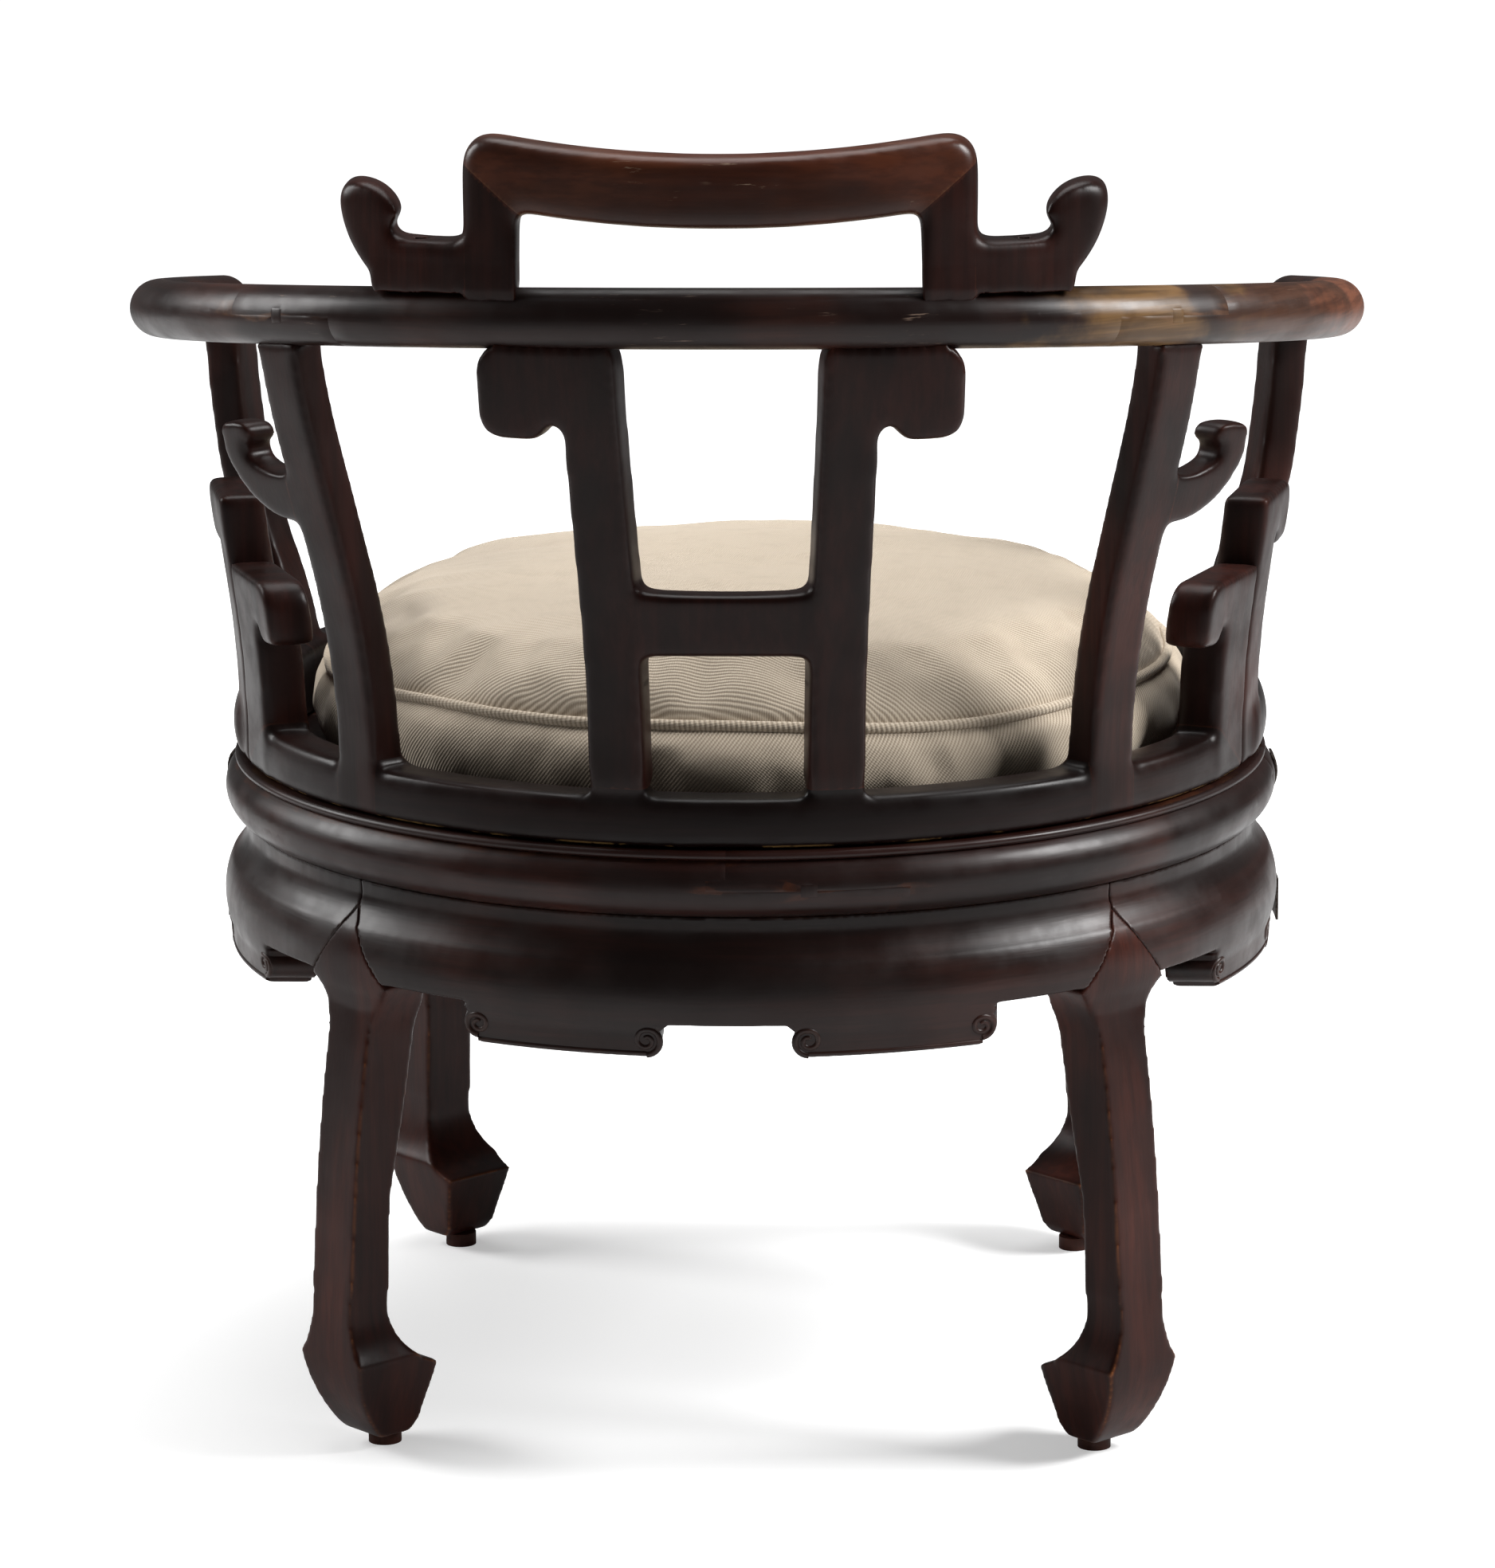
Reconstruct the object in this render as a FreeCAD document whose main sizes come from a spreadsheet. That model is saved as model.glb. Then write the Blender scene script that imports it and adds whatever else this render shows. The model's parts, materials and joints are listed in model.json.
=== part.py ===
import FreeCAD, Part
import Sketcher
import math
import os
from FreeCAD import Placement, Rotation, Vector

# Round-seated horseshoe back armchair of dark hardwood with a loose round cushion.
# +Z is up, a sitter faces -Y, and the back is at +Y. The seat stands on the axis of the rings.
document = FreeCAD.newDocument("horseshoe_armchair")
sheet = document.addObject("Spreadsheet::Sheet", "sizes")

# Each size: name, millimetres or degrees, what it is
size_rows = [
    ("ring_radius", 310.0, "widest point of the seat ring"),
    ("ring_top", 371.0, "height of the seat ring's top face"),
    ("ring_thickness", 38.0, "thickness of the seat ring"),
    ("ring_inner", 248.0, "inner radius of the seat ring"),
    ("ring_bulge_drop", 1.5, "how far the half round lies below the middle of the ring's edge"),
    ("ring_bulge_spare", 0.5, "how much less the half round's radius is than half the thickness"),
    ("ring_bead", 5.0, "height of the thin bead above the half round"),
    ("ring_bead_reach", 2.6, "how far the bead stands out"),
    ("ring_lap_drop", 0.5, "how far the ring's lap joints part below the middle of the half round"),
    ("ring_tongue", 6.0, "height of the tongues of the ring's lap joints"),
    ("ring_lap_angle", 17.0, "angle that one ring lap covers"),
    ("ring_tongue_angle", 2.0, "angle that one ring tongue covers"),
    ("ring_back_joint", 8.4, "turn of the back ring joint from the middle"),
    ("ring_side_joint", 94.0, "turn of the side ring joints from the middle of the back"),
    ("ring_key_width", 9.0, "width of the square keys in the ring"),
    ("ring_key_height", 7.0, "height of the square keys in the ring"),
    ("seat_gap", 0.3, "clearance round the seat panel and under the cushion"),
    ("panel_thickness", 12.0, "thickness of the seat panel"),
    ("panel_drop", 1.0, "how far the panel lies below the ring's top"),
    ("batten_width", 34.0, "width of the battens under the panel"),
    ("batten_thickness", 16.0, "thickness of the battens"),
    ("batten_spacing", 200.0, "distance between the two battens"),
    ("batten_tenon", 9.0, "how far the battens enter the ring"),
    ("apron_inner", 284.0, "inner radius of the aprons"),
    ("apron_neck", 298.0, "outer radius of the aprons under the ring"),
    ("apron_reach", 311.3, "widest radius of the aprons"),
    ("apron_swell_drop", 40.0, "how far the aprons' widest point lies below the ring"),
    ("apron_foot_radius", 307.0, "outer radius of the aprons at their lower edge"),
    ("apron_lobe_drop", 78.0, "how far the lobes reach below the ring"),
    ("apron_edge_rise", 24.0, "height of the apron's edge beside the legs above the lobes"),
    ("apron_notch_rise", 19.0, "height of the edge between the lobes above them"),
    ("notch_half", 34.0, "half the width of the notch between the lobes"),
    ("lobe_half_reach", 148.0, "outer end of the lobes from the middle"),
    ("volute_radius", 8.5, "radius of the carved volutes"),
    ("leg_angle", 45.0, "turn of the legs from the middle of the back"),
    ("leg_width", 36.0, "width of the leg across the radius"),
    ("leg_depth", 29.0, "depth of the leg along the radius"),
    ("leg_outer_top", 308.5, "outer radius of the leg under the apron"),
    ("leg_splay", 17.5, "how far the back legs splay out down to the hoof"),
    ("front_leg_splay", 4.5, "how far the front legs splay out down to the hoof"),
    ("leg_tip_drop", 15.0, "how far the pointed tip of the leg's shoulder lies below the ring"),
    ("leg_shoulder_half", 33.0, "half the width of the leg's shoulder"),
    ("leg_head_half", 8.4, "half the angle that the leg's head covers"),
    ("leg_shoulder_drop", 57.0, "how far the lower end of the shoulder lies below the ring"),
    ("leg_core_width", 26.0, "width of the leg's core behind the aprons"),
    ("leg_core_depth", 22.0, "depth of the leg's core"),
    ("leg_tenon", 12.0, "how far the core enters the ring"),
    ("hoof_height", 58.0, "height of the hoof's corners"),
    ("hoof_half_width", 27.0, "half the width of the hoof"),
    ("hoof_toe", 60.0, "length of the hoof along the radius"),
    ("hoof_bottom", 8.0, "height of the hoof's underside"),
    ("pad_radius", 9.5, "radius of the foot pads"),
    ("rail_foot_radius", 300.4, "outer radius of the base rails and posts"),
    ("rail_foot_depth", 28.0, "depth of the base rails along the radius"),
    ("base_rail_height", 28.0, "height of the base rails"),
    ("base_rail_rise", 5.0, "how far the base rails rise beside the posts"),
    ("front_rail_height", 42.0, "height of the front base rails"),
    ("front_rail_bulge", 4.2, "how far the front base rails swell out"),
    ("front_rail_end", 118.0, "turn of the front base rails' ends"),
    ("rail_radius", 341.4, "radius of the arm rail's curve"),
    ("rail_half", 16.4, "half the thickness of the arm rail"),
    ("rail_axis_back", 8.1, "how far the arm rail's middle lies behind the seat's axis"),
    ("rail_rise", 258.0, "height of the arm rail's middle over the seat ring, at its centre"),
    ("rail_tilt", 7.1, "tilt of the arm rail"),
    ("rail_end", 110.0, "turn of the arm rail's ends"),
    ("rail_end_round", 13.0, "rounding of the arm rail's ends"),
    ("rail_joint", 43.2, "turn of the arm rail's lap joints"),
    ("rail_lap_angle", 13.0, "angle that one arm rail lap covers"),
    ("rail_key_width", 8.0, "width of the square keys in the arm rail"),
    ("post_inset", 2.5, "how far the posts' heads stand inside the arm rail's middle"),
    ("rear_post_angle", 45.0, "turn of the rear posts"),
    ("rear_post_width", 33.0, "width of the rear posts"),
    ("rear_post_depth", 22.0, "depth of the rear posts"),
    ("centre_post_angle", 11.7, "turn of the centre posts"),
    ("centre_post_width", 32.0, "width of the centre posts"),
    ("centre_post_depth", 25.0, "depth of the centre posts"),
    ("centre_head_reach", 62.0, "reach of the centre posts' hooks from the post's middle"),
    ("centre_head_height", 66.0, "height of the centre posts' hooked heads"),
    ("front_post_angle", 107.0, "turn of the front posts"),
    ("front_post_width", 33.0, "width of the front posts"),
    ("front_post_depth", 22.0, "depth of the front posts"),
    ("front_post_inset", 8.0, "how far the front posts' heads stand inside the arm rail's middle"),
    ("post_tenon_width", 14.0, "width of the tenons into the arm rail"),
    ("post_tenon_depth", 10.0, "depth of the tenons into the arm rail"),
    ("foot_tenon", 15.0, "length of the tenons into the back base rail"),
    ("post_tenon_rise", 6.0, "how far the tenons pass the arm rail's middle"),
    ("hook_width", 45.0, "width of the side hooks' shafts"),
    ("hook_depth", 27.0, "depth of the side hooks"),
    ("hook_lean", 13.0, "how far the side hooks lean outwards"),
    ("short_hook_angle", 69.5, "turn of the short hooks"),
    ("short_hook_height", 121.0, "height of the short hooks above the seat ring"),
    ("tall_hook_angle", 78.0, "turn of the tall hooks"),
    ("tall_hook_height", 159.0, "height of the tall hooks above the seat ring"),
    ("hook_head_reach", 58.0, "reach of the side hooks' heads from the shaft's middle"),
    ("hook_head_height", 37.0, "height of the side hooks' heads"),
    ("cross_rail_rise", 108.0, "height of the cross rail's lower edge above the ring"),
    ("cross_rail_height", 39.0, "height of the cross rail"),
    ("cross_rail_depth", 22.0, "depth of the cross rail"),
    ("cross_rail_dip", 3.0, "dip of the cross rail's upper edge"),
    ("bracket_reach", 68.0, "reach of the rear brackets from the post's middle"),
    ("bracket_rise", 167.0, "height of the rear brackets' lower edge above the ring"),
    ("bracket_height", 54.0, "height of the rear brackets"),
    ("crest_depth", 29.0, "depth of the crest"),
    ("crest_inset", 2.9, "how far the crest's middle line lies inside the arm rail's"),
    ("crest_rise", 95.3, "height of the crest's corners above the arm rail's middle at the back"),
    ("crest_dip", 9.0, "dip of the crest rail in the middle"),
    ("crest_rail_height", 39.0, "height of the crest rail"),
    ("crest_half_width", 136.0, "half the width of the crest"),
    ("crest_post_width", 28.5, "width of the crest's posts"),
    ("crest_round", 14.5, "rounding of the crest"),
    ("ear_reach", 206.0, "reach of the crest's ears from the middle"),
    ("ear_drop", 28.0, "how far the ears' heads lie below the crest's corners"),
    ("ear_height", 48.5, "height of the ears' rounded outer side"),
    ("ear_gap", 2.4, "gap between the ears and the arm rail"),
    ("peg_radius", 3.2, "radius of the pegs in the ears"),
    ("peg_length", 40.0, "length of the pegs in the ears"),
    ("strap_thickness", 1.6, "thickness of the iron straps"),
    ("strap_angle", 4.8, "angle that an iron strap covers"),
    ("strap_turn", 93.0, "turn of the iron straps"),
    ("strap_fit", 0.3, "clearance under the iron straps"),
    ("plate_rise", 5.0, "height of the apron plates' lower edge above the lobes' lower edge"),
    ("plate_height", 25.0, "height of the apron plates"),
    ("cushion_radius", 262.0, "radius of the cushion"),
    ("cushion_band", 57.0, "height of the cushion's upper seam above the seat panel"),
    ("cushion_crown", 38.0, "how far the cushion's crown stands above the seam"),
    ("cushion_round", 16.0, "rounding of the cushion's lower edge"),
    ("cushion_bulge", 7.0, "how far the cushion's side swells"),
    ("overrun", 60.0, "how far the cutting shapes pass what they cut"),
]


class Size:
    # A length that knows both its number and the expression that the sheet works it out from
    def __init__(self, number, text):
        self.number = float(number)
        self.text = text

    def __add__(self, other):
        other = as_size(other)
        return Size(self.number + other.number, f"({self.text} + {other.text})")

    def __sub__(self, other):
        other = as_size(other)
        return Size(self.number - other.number, f"({self.text} - {other.text})")

    def __mul__(self, other):
        other = as_size(other)
        return Size(self.number * other.number, f"({self.text} * {other.text})")

    def __truediv__(self, other):
        other = as_size(other)
        return Size(self.number / other.number, f"({self.text} / {other.text})")

    def __neg__(self):
        return Size(-self.number, f"(0 - {self.text})")


def as_size(value):
    return value if isinstance(value, Size) else Size(value, repr(float(value)))


def cosine(angle):
    return Size(math.cos(math.radians(angle.number)), f"cos({angle.text} * 1 deg)")


def sine(angle):
    return Size(math.sin(math.radians(angle.number)), f"sin({angle.text} * 1 deg)")


def root(value):
    return Size(math.sqrt(value.number), f"sqrt({value.text})")


zero = Size(0, "0")
S = {}
for row, (name, number, note) in enumerate(size_rows, 1):
    sheet.set(f"A{row}", name)
    sheet.set(f"B{row}", str(number))
    sheet.set(f"C{row}", note)
    sheet.setAlias(f"B{row}", name)
    S[name] = Size(number, f"sizes.{name}")
document.recompute()

# The arm rail reaches furthest back and the seat ring furthest forward, so the axis of the
# rings stands off the middle of the whole chair
rail_back_reach = S["rail_axis_back"] + S["rail_radius"] * cosine(S["rail_tilt"]) + S["rail_half"]
seat_shift = (S["apron_reach"] - rail_back_reach) / 2
node_list = []

# Heights that several pieces share, worked down from the ring and up from it
ring_top = S["ring_top"]
ring_bottom = ring_top - S["ring_thickness"]
bulge_height = (ring_top + ring_bottom) / 2 - S["ring_bulge_drop"]
ring_bulge = S["ring_thickness"] / 2 - S["ring_bulge_spare"]
lap_height = bulge_height - S["ring_lap_drop"]
panel_top = ring_top - S["panel_drop"]
lobe_bottom = ring_bottom - S["apron_lobe_drop"]
apron_edge = lobe_bottom + S["apron_edge_rise"]
notch_edge = lobe_bottom + S["apron_notch_rise"]
swell = ring_bottom - S["apron_swell_drop"]
leg_tip_height = ring_bottom - S["leg_tip_drop"]
shoulder_end = ring_bottom - S["leg_shoulder_drop"]
rail_height = ring_top + S["rail_rise"]
rail_back_height = rail_height + S["rail_radius"] * sine(S["rail_tilt"])
crest_top = rail_back_height + S["crest_rise"]
crest_radius = S["rail_radius"] - S["crest_inset"]


def bind(item, name, value):
    item.setExpression(name, as_size(value).text)


def place(item, angle=None, height=None):
    # Stand an item on the axis of the rings, turned from the middle of the back if asked
    if angle is not None:
        bind(item, ".Placement.Rotation.Angle", angle)
    if height is not None:
        bind(item, ".Placement.Base.z", height)
    bind(item, ".Placement.Base.y", seat_shift)


def keep(item, label):
    item.Label = label
    node_list.append(item)
    return item


def circle_through(start, middle, end):
    ax, ay = start
    bx, by = middle
    cx, cy = end
    twice = 2 * (ax * (by - cy) + bx * (cy - ay) + cx * (ay - by))
    a2, b2, c2 = ax * ax + ay * ay, bx * bx + by * by, cx * cx + cy * cy
    x = (a2 * (by - cy) + b2 * (cy - ay) + c2 * (ay - by)) / twice
    y = (a2 * (cx - bx) + b2 * (ax - cx) + c2 * (bx - ax)) / twice
    return x, y, math.hypot(ax - x, ay - y)


def fix_point(sketch, geometry, corner, point):
    # Tie one point of a sketch to the sheet
    for kind, value in (("DistanceX", point[0]), ("DistanceY", point[1])):
        value = as_size(value)
        index = sketch.addConstraint(Sketcher.Constraint(kind, -1, 1, geometry, corner, value.number))
        if value.text != "0":
            sketch.setExpression(f"Constraints[{index}]", value.text)


def draw_outline(sketch, outline):
    # An outline is its first point, then an end point for each line, and a middle and an
    # end point for each arc. It closes back to its first point.
    points = list(outline)
    last = [as_size(value).number for value in points[-1][-2:]]
    if last != [as_size(value).number for value in points[0]]:
        points.append(points[0])
    edges = []
    start = points[0]
    for step in points[1:]:
        end = step[-2:]
        a = (as_size(start[0]).number, as_size(start[1]).number)
        b = (as_size(end[0]).number, as_size(end[1]).number)
        if len(step) == 2:
            line = Part.LineSegment(Vector(a[0], a[1], 0), Vector(b[0], b[1], 0))
            edges.append((sketch.addGeometry(line), 1, 2, start))
        else:
            m = (as_size(step[0]).number, as_size(step[1]).number)
            x, y, radius = circle_through(a, m, b)
            turn = (m[0] - a[0]) * (b[1] - m[1]) - (m[1] - a[1]) * (b[0] - m[0])
            first, last = (a, b) if turn > 0 else (b, a)
            circle = Part.Circle(Vector(x, y, 0), Vector(0, 0, 1), radius)
            arc = Part.ArcOfCircle(circle, math.atan2(first[1] - y, first[0] - x),
                                   math.atan2(last[1] - y, last[0] - x))
            index = sketch.addGeometry(arc)
            mark = sketch.addGeometry(Part.Point(Vector(m[0], m[1], 0)), True)
            fix_point(sketch, mark, 1, step[:2])
            sketch.addConstraint(Sketcher.Constraint("PointOnObject", mark, 1, index))
            corners = (1, 2) if turn > 0 else (2, 1)
            edges.append((index, corners[0], corners[1], start))
        start = end
    for number, (index, first, last, point) in enumerate(edges):
        fix_point(sketch, index, first, point)
        following = edges[(number + 1) % len(edges)]
        sketch.addConstraint(Sketcher.Constraint("Coincident", index, last, following[0], following[1]))


def draw(body, role, *outlines):
    sketch = body.newObject("Sketcher::SketchObject", body.Name + "_outline")
    plane = [item for item in body.Origin.OriginFeatures if item.Role == role][0]
    sketch.AttachmentSupport = [(plane, "")]
    sketch.MapMode = "FlatFace"
    for outline in outlines:
        draw_outline(sketch, outline)
    return sketch


def new_body(name, angle=None, height=None):
    body = document.addObject("PartDesign::Body", name)
    place(body, angle, height)
    return body


def add_pad(body, sketch, length):
    pad = body.newObject("PartDesign::Pad", body.Name + "_pad")
    pad.Profile = sketch
    pad.SideType = "Symmetric"
    bind(pad, "Length", length)
    return pad


def add_pocket(body, sketch, length):
    pocket = body.newObject("PartDesign::Pocket", body.Name + "_pocket")
    pocket.Profile = sketch
    pocket.SideType = "Symmetric"
    bind(pocket, "Length", length)
    return pocket


def add_turn(body, sketch, before, after):
    # Revolve a section about the upright axis, from one angle to the other beside its plane
    turned = body.newObject("PartDesign::Revolution", body.Name + "_turn")
    turned.Profile = sketch
    turned.ReferenceAxis = (sketch, ["V_Axis"])
    turned.Type = "TwoAngles"
    bind(turned, "Angle", after)
    bind(turned, "Angle2", before)
    return turned


def boolean(kind, name, base, tool):
    item = document.addObject("Part::" + kind, name)
    item.Base = base
    item.Tool = tool
    return item


def add_full_turn(body, sketch):
    turned = body.newObject("PartDesign::Revolution", body.Name + "_turn")
    turned.Profile = sketch
    turned.ReferenceAxis = (sketch, ["V_Axis"])
    turned.Angle = 360


def cut(name, base, *tools):
    for number, tool in enumerate(tools):
        base = boolean("Cut", f"{name}_cut_{number}", base, tool)
    return base


def common(name, base, tool):
    return boolean("Common", name, base, tool)


def fuse(name, *items):
    joined = document.addObject("Part::MultiFuse", name)
    joined.Shapes = list(items)
    joined.Refine = True
    return joined


def mirror(name, source):
    # The same piece on the chair's other side
    item = document.addObject("Part::Mirroring", name)
    item.Source = source
    item.Normal = Vector(1, 0, 0)
    return item


def box(name, length, width, height, x, y, z):
    # A block given by its size and its lowest corner, both along its own turned axes
    item = document.addObject("Part::Box", name)
    for side, value in (("Length", length), ("Width", width), ("Height", height)):
        bind(item, side, value)
    bind(item, ".Placement.Base.x", x)
    bind(item, ".Placement.Base.y", y)
    bind(item, ".Placement.Base.z", z)
    return item


def radial_block(name, angle, start, end, width, low, high):
    # A squared block that lies along the radius at an angle
    body = new_body(name, angle)
    outline = [(start, low), (end, low), (end, high), (start, high)]
    add_pad(body, draw(body, "XZ_Plane", outline), width)
    return body


# Angles of a body are counted from +X, and the middle of the back is a quarter turn on
quarter = Size(90, "90")
half_turn = Size(180, "180")


def left(angle):
    return quarter - angle


def right(angle):
    return quarter + angle


# Seat ring: four moulded segments, lapped with tongues and locked by square keys
bulge_centre = S["ring_radius"] - ring_bulge
bead_low = ring_top - S["ring_bead"]


def bulge_at(height):
    away = height - bulge_height
    return bulge_centre + root(ring_bulge * ring_bulge - away * away)


lap_low = lap_height - S["ring_tongue"]
lap_high = lap_height + S["ring_tongue"]


def ring_layer(low, high):
    # The part of the ring's section between two heights
    middle = (low + high) / 2
    return [(S["ring_inner"], low), (bulge_at(low), low),
            (bulge_at(middle), middle, bulge_at(high), high), (S["ring_inner"], high)]


def ring_top_layer():
    # The upper layer carries the bead, which stands out over a fine groove
    middle = (lap_high + bead_low) / 2
    bead_middle = (bead_low + ring_top) / 2
    edge = bulge_at(bead_low)
    reach = edge + S["ring_bead_reach"]
    return [(S["ring_inner"], lap_high), (bulge_at(lap_high), lap_high),
            (bulge_at(middle), middle, edge, bead_low),
            (reach, bead_middle, edge, ring_top), (S["ring_inner"], ring_top)]


def ring_layers():
    return [ring_layer(ring_bottom, lap_low), ring_layer(lap_low, lap_height),
            ring_layer(lap_height, lap_high), ring_top_layer()]


lap_half = S["ring_lap_angle"] / 2
tongue_half = lap_half + S["ring_tongue_angle"]
# How far past a joint's middle each layer of the segment before it reaches, from the bottom up
layer_reach = [lap_half, tongue_half, -tongue_half, -lap_half]
ring_joints = [("back", right(S["ring_back_joint"])), ("right", right(S["ring_side_joint"])),
               ("front", quarter * 3), ("left", quarter * 5 - S["ring_side_joint"])]
ring_names = ["seat_ring_right_back", "seat_ring_right_front",
              "seat_ring_left_front", "seat_ring_left_back"]

ring_keys = []
for side, angle in ring_joints:
    ring_keys.append(radial_block(f"ring_key_block_{side}", angle, S["ring_inner"],
                                  S["ring_radius"] + S["overrun"], S["ring_key_width"],
                                  lap_height - S["ring_key_height"] / 2,
                                  lap_height + S["ring_key_height"] / 2))
key_blocks = fuse("ring_key_blocks", *ring_keys)

# The whole ring as one body, for trimming what ends flush with it
ring_blank = new_body("ring_blank")
for layer in ring_layers():
    add_full_turn(ring_blank, draw(ring_blank, "XZ_Plane", layer))

# Battens under the seat panel, tenoned into the ring
batten_top = panel_top - S["panel_thickness"]
batten_low = batten_top - S["batten_thickness"]
ring_chord = root(S["ring_inner"] * S["ring_inner"] - (S["batten_spacing"] / 2) * (S["batten_spacing"] / 2))
batten_half = ring_chord + S["batten_tenon"] - S["batten_width"] / 4
battens = []
for side, sign in (("left", 1), ("right", -1)):
    middle = S["batten_spacing"] / 2 * sign
    battens.append(box(f"batten_{side}", S["batten_width"], batten_half * 2, S["batten_thickness"],
                       middle - S["batten_width"] / 2, seat_shift - batten_half, batten_low))
batten_pair = keep(fuse("batten_pair", *battens), "seat_battens")

# Legs: pointed shoulder mitred into the aprons, gently bowed shaft and inward horse-hoof foot
neck_low = ring_bottom - (ring_bottom - swell) * 0.22
shoulder_height = ring_bottom - (ring_bottom - swell) * 0.62
swell_depth = S["apron_reach"] - S["apron_neck"]


def apron_section(low):
    # Cove under the ring, round swell and a nearly upright face below it
    shoulder_radius = S["apron_neck"] + swell_depth * 0.66
    lower_swell = swell - (swell - lobe_bottom) * 0.62
    return [(S["apron_inner"], low), (S["apron_foot_radius"], low),
            (S["apron_foot_radius"] + swell_depth * 0.08, lower_swell),
            (S["apron_reach"], swell, shoulder_radius, shoulder_height),
            (S["apron_neck"] + swell_depth * 0.22, (neck_low + shoulder_height) / 2,
             S["apron_neck"], neck_low),
            (S["apron_neck"], ring_bottom), (S["apron_inner"], ring_bottom)]


shaft_high = shoulder_end - S["leg_depth"] * 0.5
core_inner = S["apron_inner"] - S["leg_core_depth"]
leg_span = shaft_high - S["hoof_height"]
ankle = S["hoof_height"] + leg_span * 0.13
knee = S["hoof_height"] + leg_span * 0.45
thigh = S["hoof_height"] + leg_span * 0.75


def hoof_heel(splay):
    # The outer radius of the hoof's corners
    return S["leg_outer_top"] + splay + S["leg_depth"] * 0.05


def leg_side(splay):
    top = S["leg_outer_top"]
    low = top + splay
    heel = hoof_heel(splay)
    toe = S["hoof_toe"]
    tip = heel - toe
    return [
        (S["apron_inner"], leg_tip_height),
        (S["apron_neck"], leg_tip_height),
        (top - S["leg_depth"] * 0.06, shaft_high),
        (top + splay * 0.36, thigh, top + splay * 0.7 + S["leg_depth"] * 0.02, knee),
        (low, ankle),
        (heel, S["hoof_height"]),
        (heel - toe * 0.12, S["hoof_height"] * 0.55, heel - toe * 0.33, S["hoof_bottom"] * 1.5),
        (heel - toe * 0.4, S["hoof_bottom"]),
        (tip + toe * 0.26, S["hoof_bottom"]),
        (tip + toe * 0.17, S["hoof_bottom"] * 1.8),
        (tip, S["hoof_height"] * 0.86),
        (tip + toe * 0.34, S["hoof_height"] * 1.06, low - S["leg_depth"], S["hoof_height"] * 1.6),
        (low - S["leg_depth"] * 1.08, knee),
        (top - S["leg_depth"] * 0.93, thigh, top - S["leg_depth"] * 1.25, shaft_high),
    ]


def leg_face(sign):
    # One half of the leg's front outline, from the tip down to the underside
    shaft = S["leg_width"] / 2 * sign
    shoulder = S["leg_shoulder_half"] * sign
    hoof = S["hoof_half_width"] * sign
    drop = leg_tip_height - shoulder_end
    return [
        (shoulder * 0.42, leg_tip_height - drop * 0.48, shoulder, shoulder_end),
        (shoulder * 0.68, shaft_high, shaft, shoulder_end - S["leg_depth"] * 1.3),
        (shaft, S["hoof_height"] * 1.7),
        (shaft * 1.08, S["hoof_height"] * 1.25, hoof, S["hoof_height"] * 0.98),
        (hoof * 0.7, S["hoof_bottom"] * 2),
        (hoof * 0.62, S["hoof_bottom"]),
    ]


def reversed_steps(steps, start, end):
    # The same run of lines and arcs followed the other way, closing at the given end
    ends = [start] + [step[-2:] for step in steps]
    turned = []
    for number in range(len(steps) - 1, -1, -1):
        target = ends[number] if number else end
        step = steps[number]
        turned.append(step[:2] + target if len(step) == 4 else target)
    return turned


leg_tip = (zero, leg_tip_height)
down = leg_face(1)
up = reversed_steps(leg_face(-1), leg_tip, leg_tip)
leg_front = [leg_tip] + down + [leg_face(-1)[-1]] + up


def make_leg(name, angle, splay):
    head = new_body(name + "_head", angle)
    add_turn(head, draw(head, "XZ_Plane", apron_section(shaft_high)), S["leg_head_half"], S["leg_head_half"])
    side = new_body(name + "_side", angle)
    add_pad(side, draw(side, "XZ_Plane", leg_side(splay)), S["leg_shoulder_half"] * 2 + S["overrun"])
    face = new_body(name + "_face", angle)
    add_pad(face, draw(face, "YZ_Plane", leg_front), (hoof_heel(splay) + S["overrun"]) * 2)
    shaped = common(name + "_shaped", fuse(name + "_blank", head, side), face)
    core = radial_block(name + "_core", angle, core_inner, S["apron_inner"], S["leg_core_width"],
                        shoulder_end, ring_bottom + S["leg_tenon"])
    return fuse(name, shaped, core)


leg_left_back = make_leg("leg_left_back_solid", left(S["leg_angle"]), S["leg_splay"])
leg_right_back = mirror("leg_right_back_solid", leg_left_back)
leg_left_front = make_leg("leg_left_front_solid", left(half_turn - S["leg_angle"]), S["front_leg_splay"])
leg_right_front = mirror("leg_right_front_solid", leg_left_front)
legs = {"left_back": leg_left_back, "right_back": leg_right_back,
        "left_front": leg_left_front, "right_front": leg_right_front}
for place_name, leg in legs.items():
    keep(leg, "leg_" + place_name)

pad_list = []
back_seat = hoof_heel(S["leg_splay"]) - S["hoof_toe"] * 0.66
front_seat = hoof_heel(S["front_leg_splay"]) - S["hoof_toe"] * 0.66
for number, (turn, pad_seat) in enumerate(((left(S["leg_angle"]), back_seat),
                                           (right(S["leg_angle"]), back_seat),
                                           (right(half_turn - S["leg_angle"]), front_seat),
                                           (left(half_turn - S["leg_angle"]), front_seat))):
    pad = document.addObject("Part::Cylinder", f"foot_pad_{number}")
    bind(pad, "Radius", S["pad_radius"])
    bind(pad, "Height", S["hoof_bottom"])
    bind(pad, ".Placement.Base.x", pad_seat * cosine(turn))
    bind(pad, ".Placement.Base.y", seat_shift + pad_seat * sine(turn))
    pad_list.append(pad)
foot_pads = document.addObject("Part::Compound", "foot_pad_group")
foot_pads.Links = pad_list
keep(foot_pads, "foot_pads")

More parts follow.
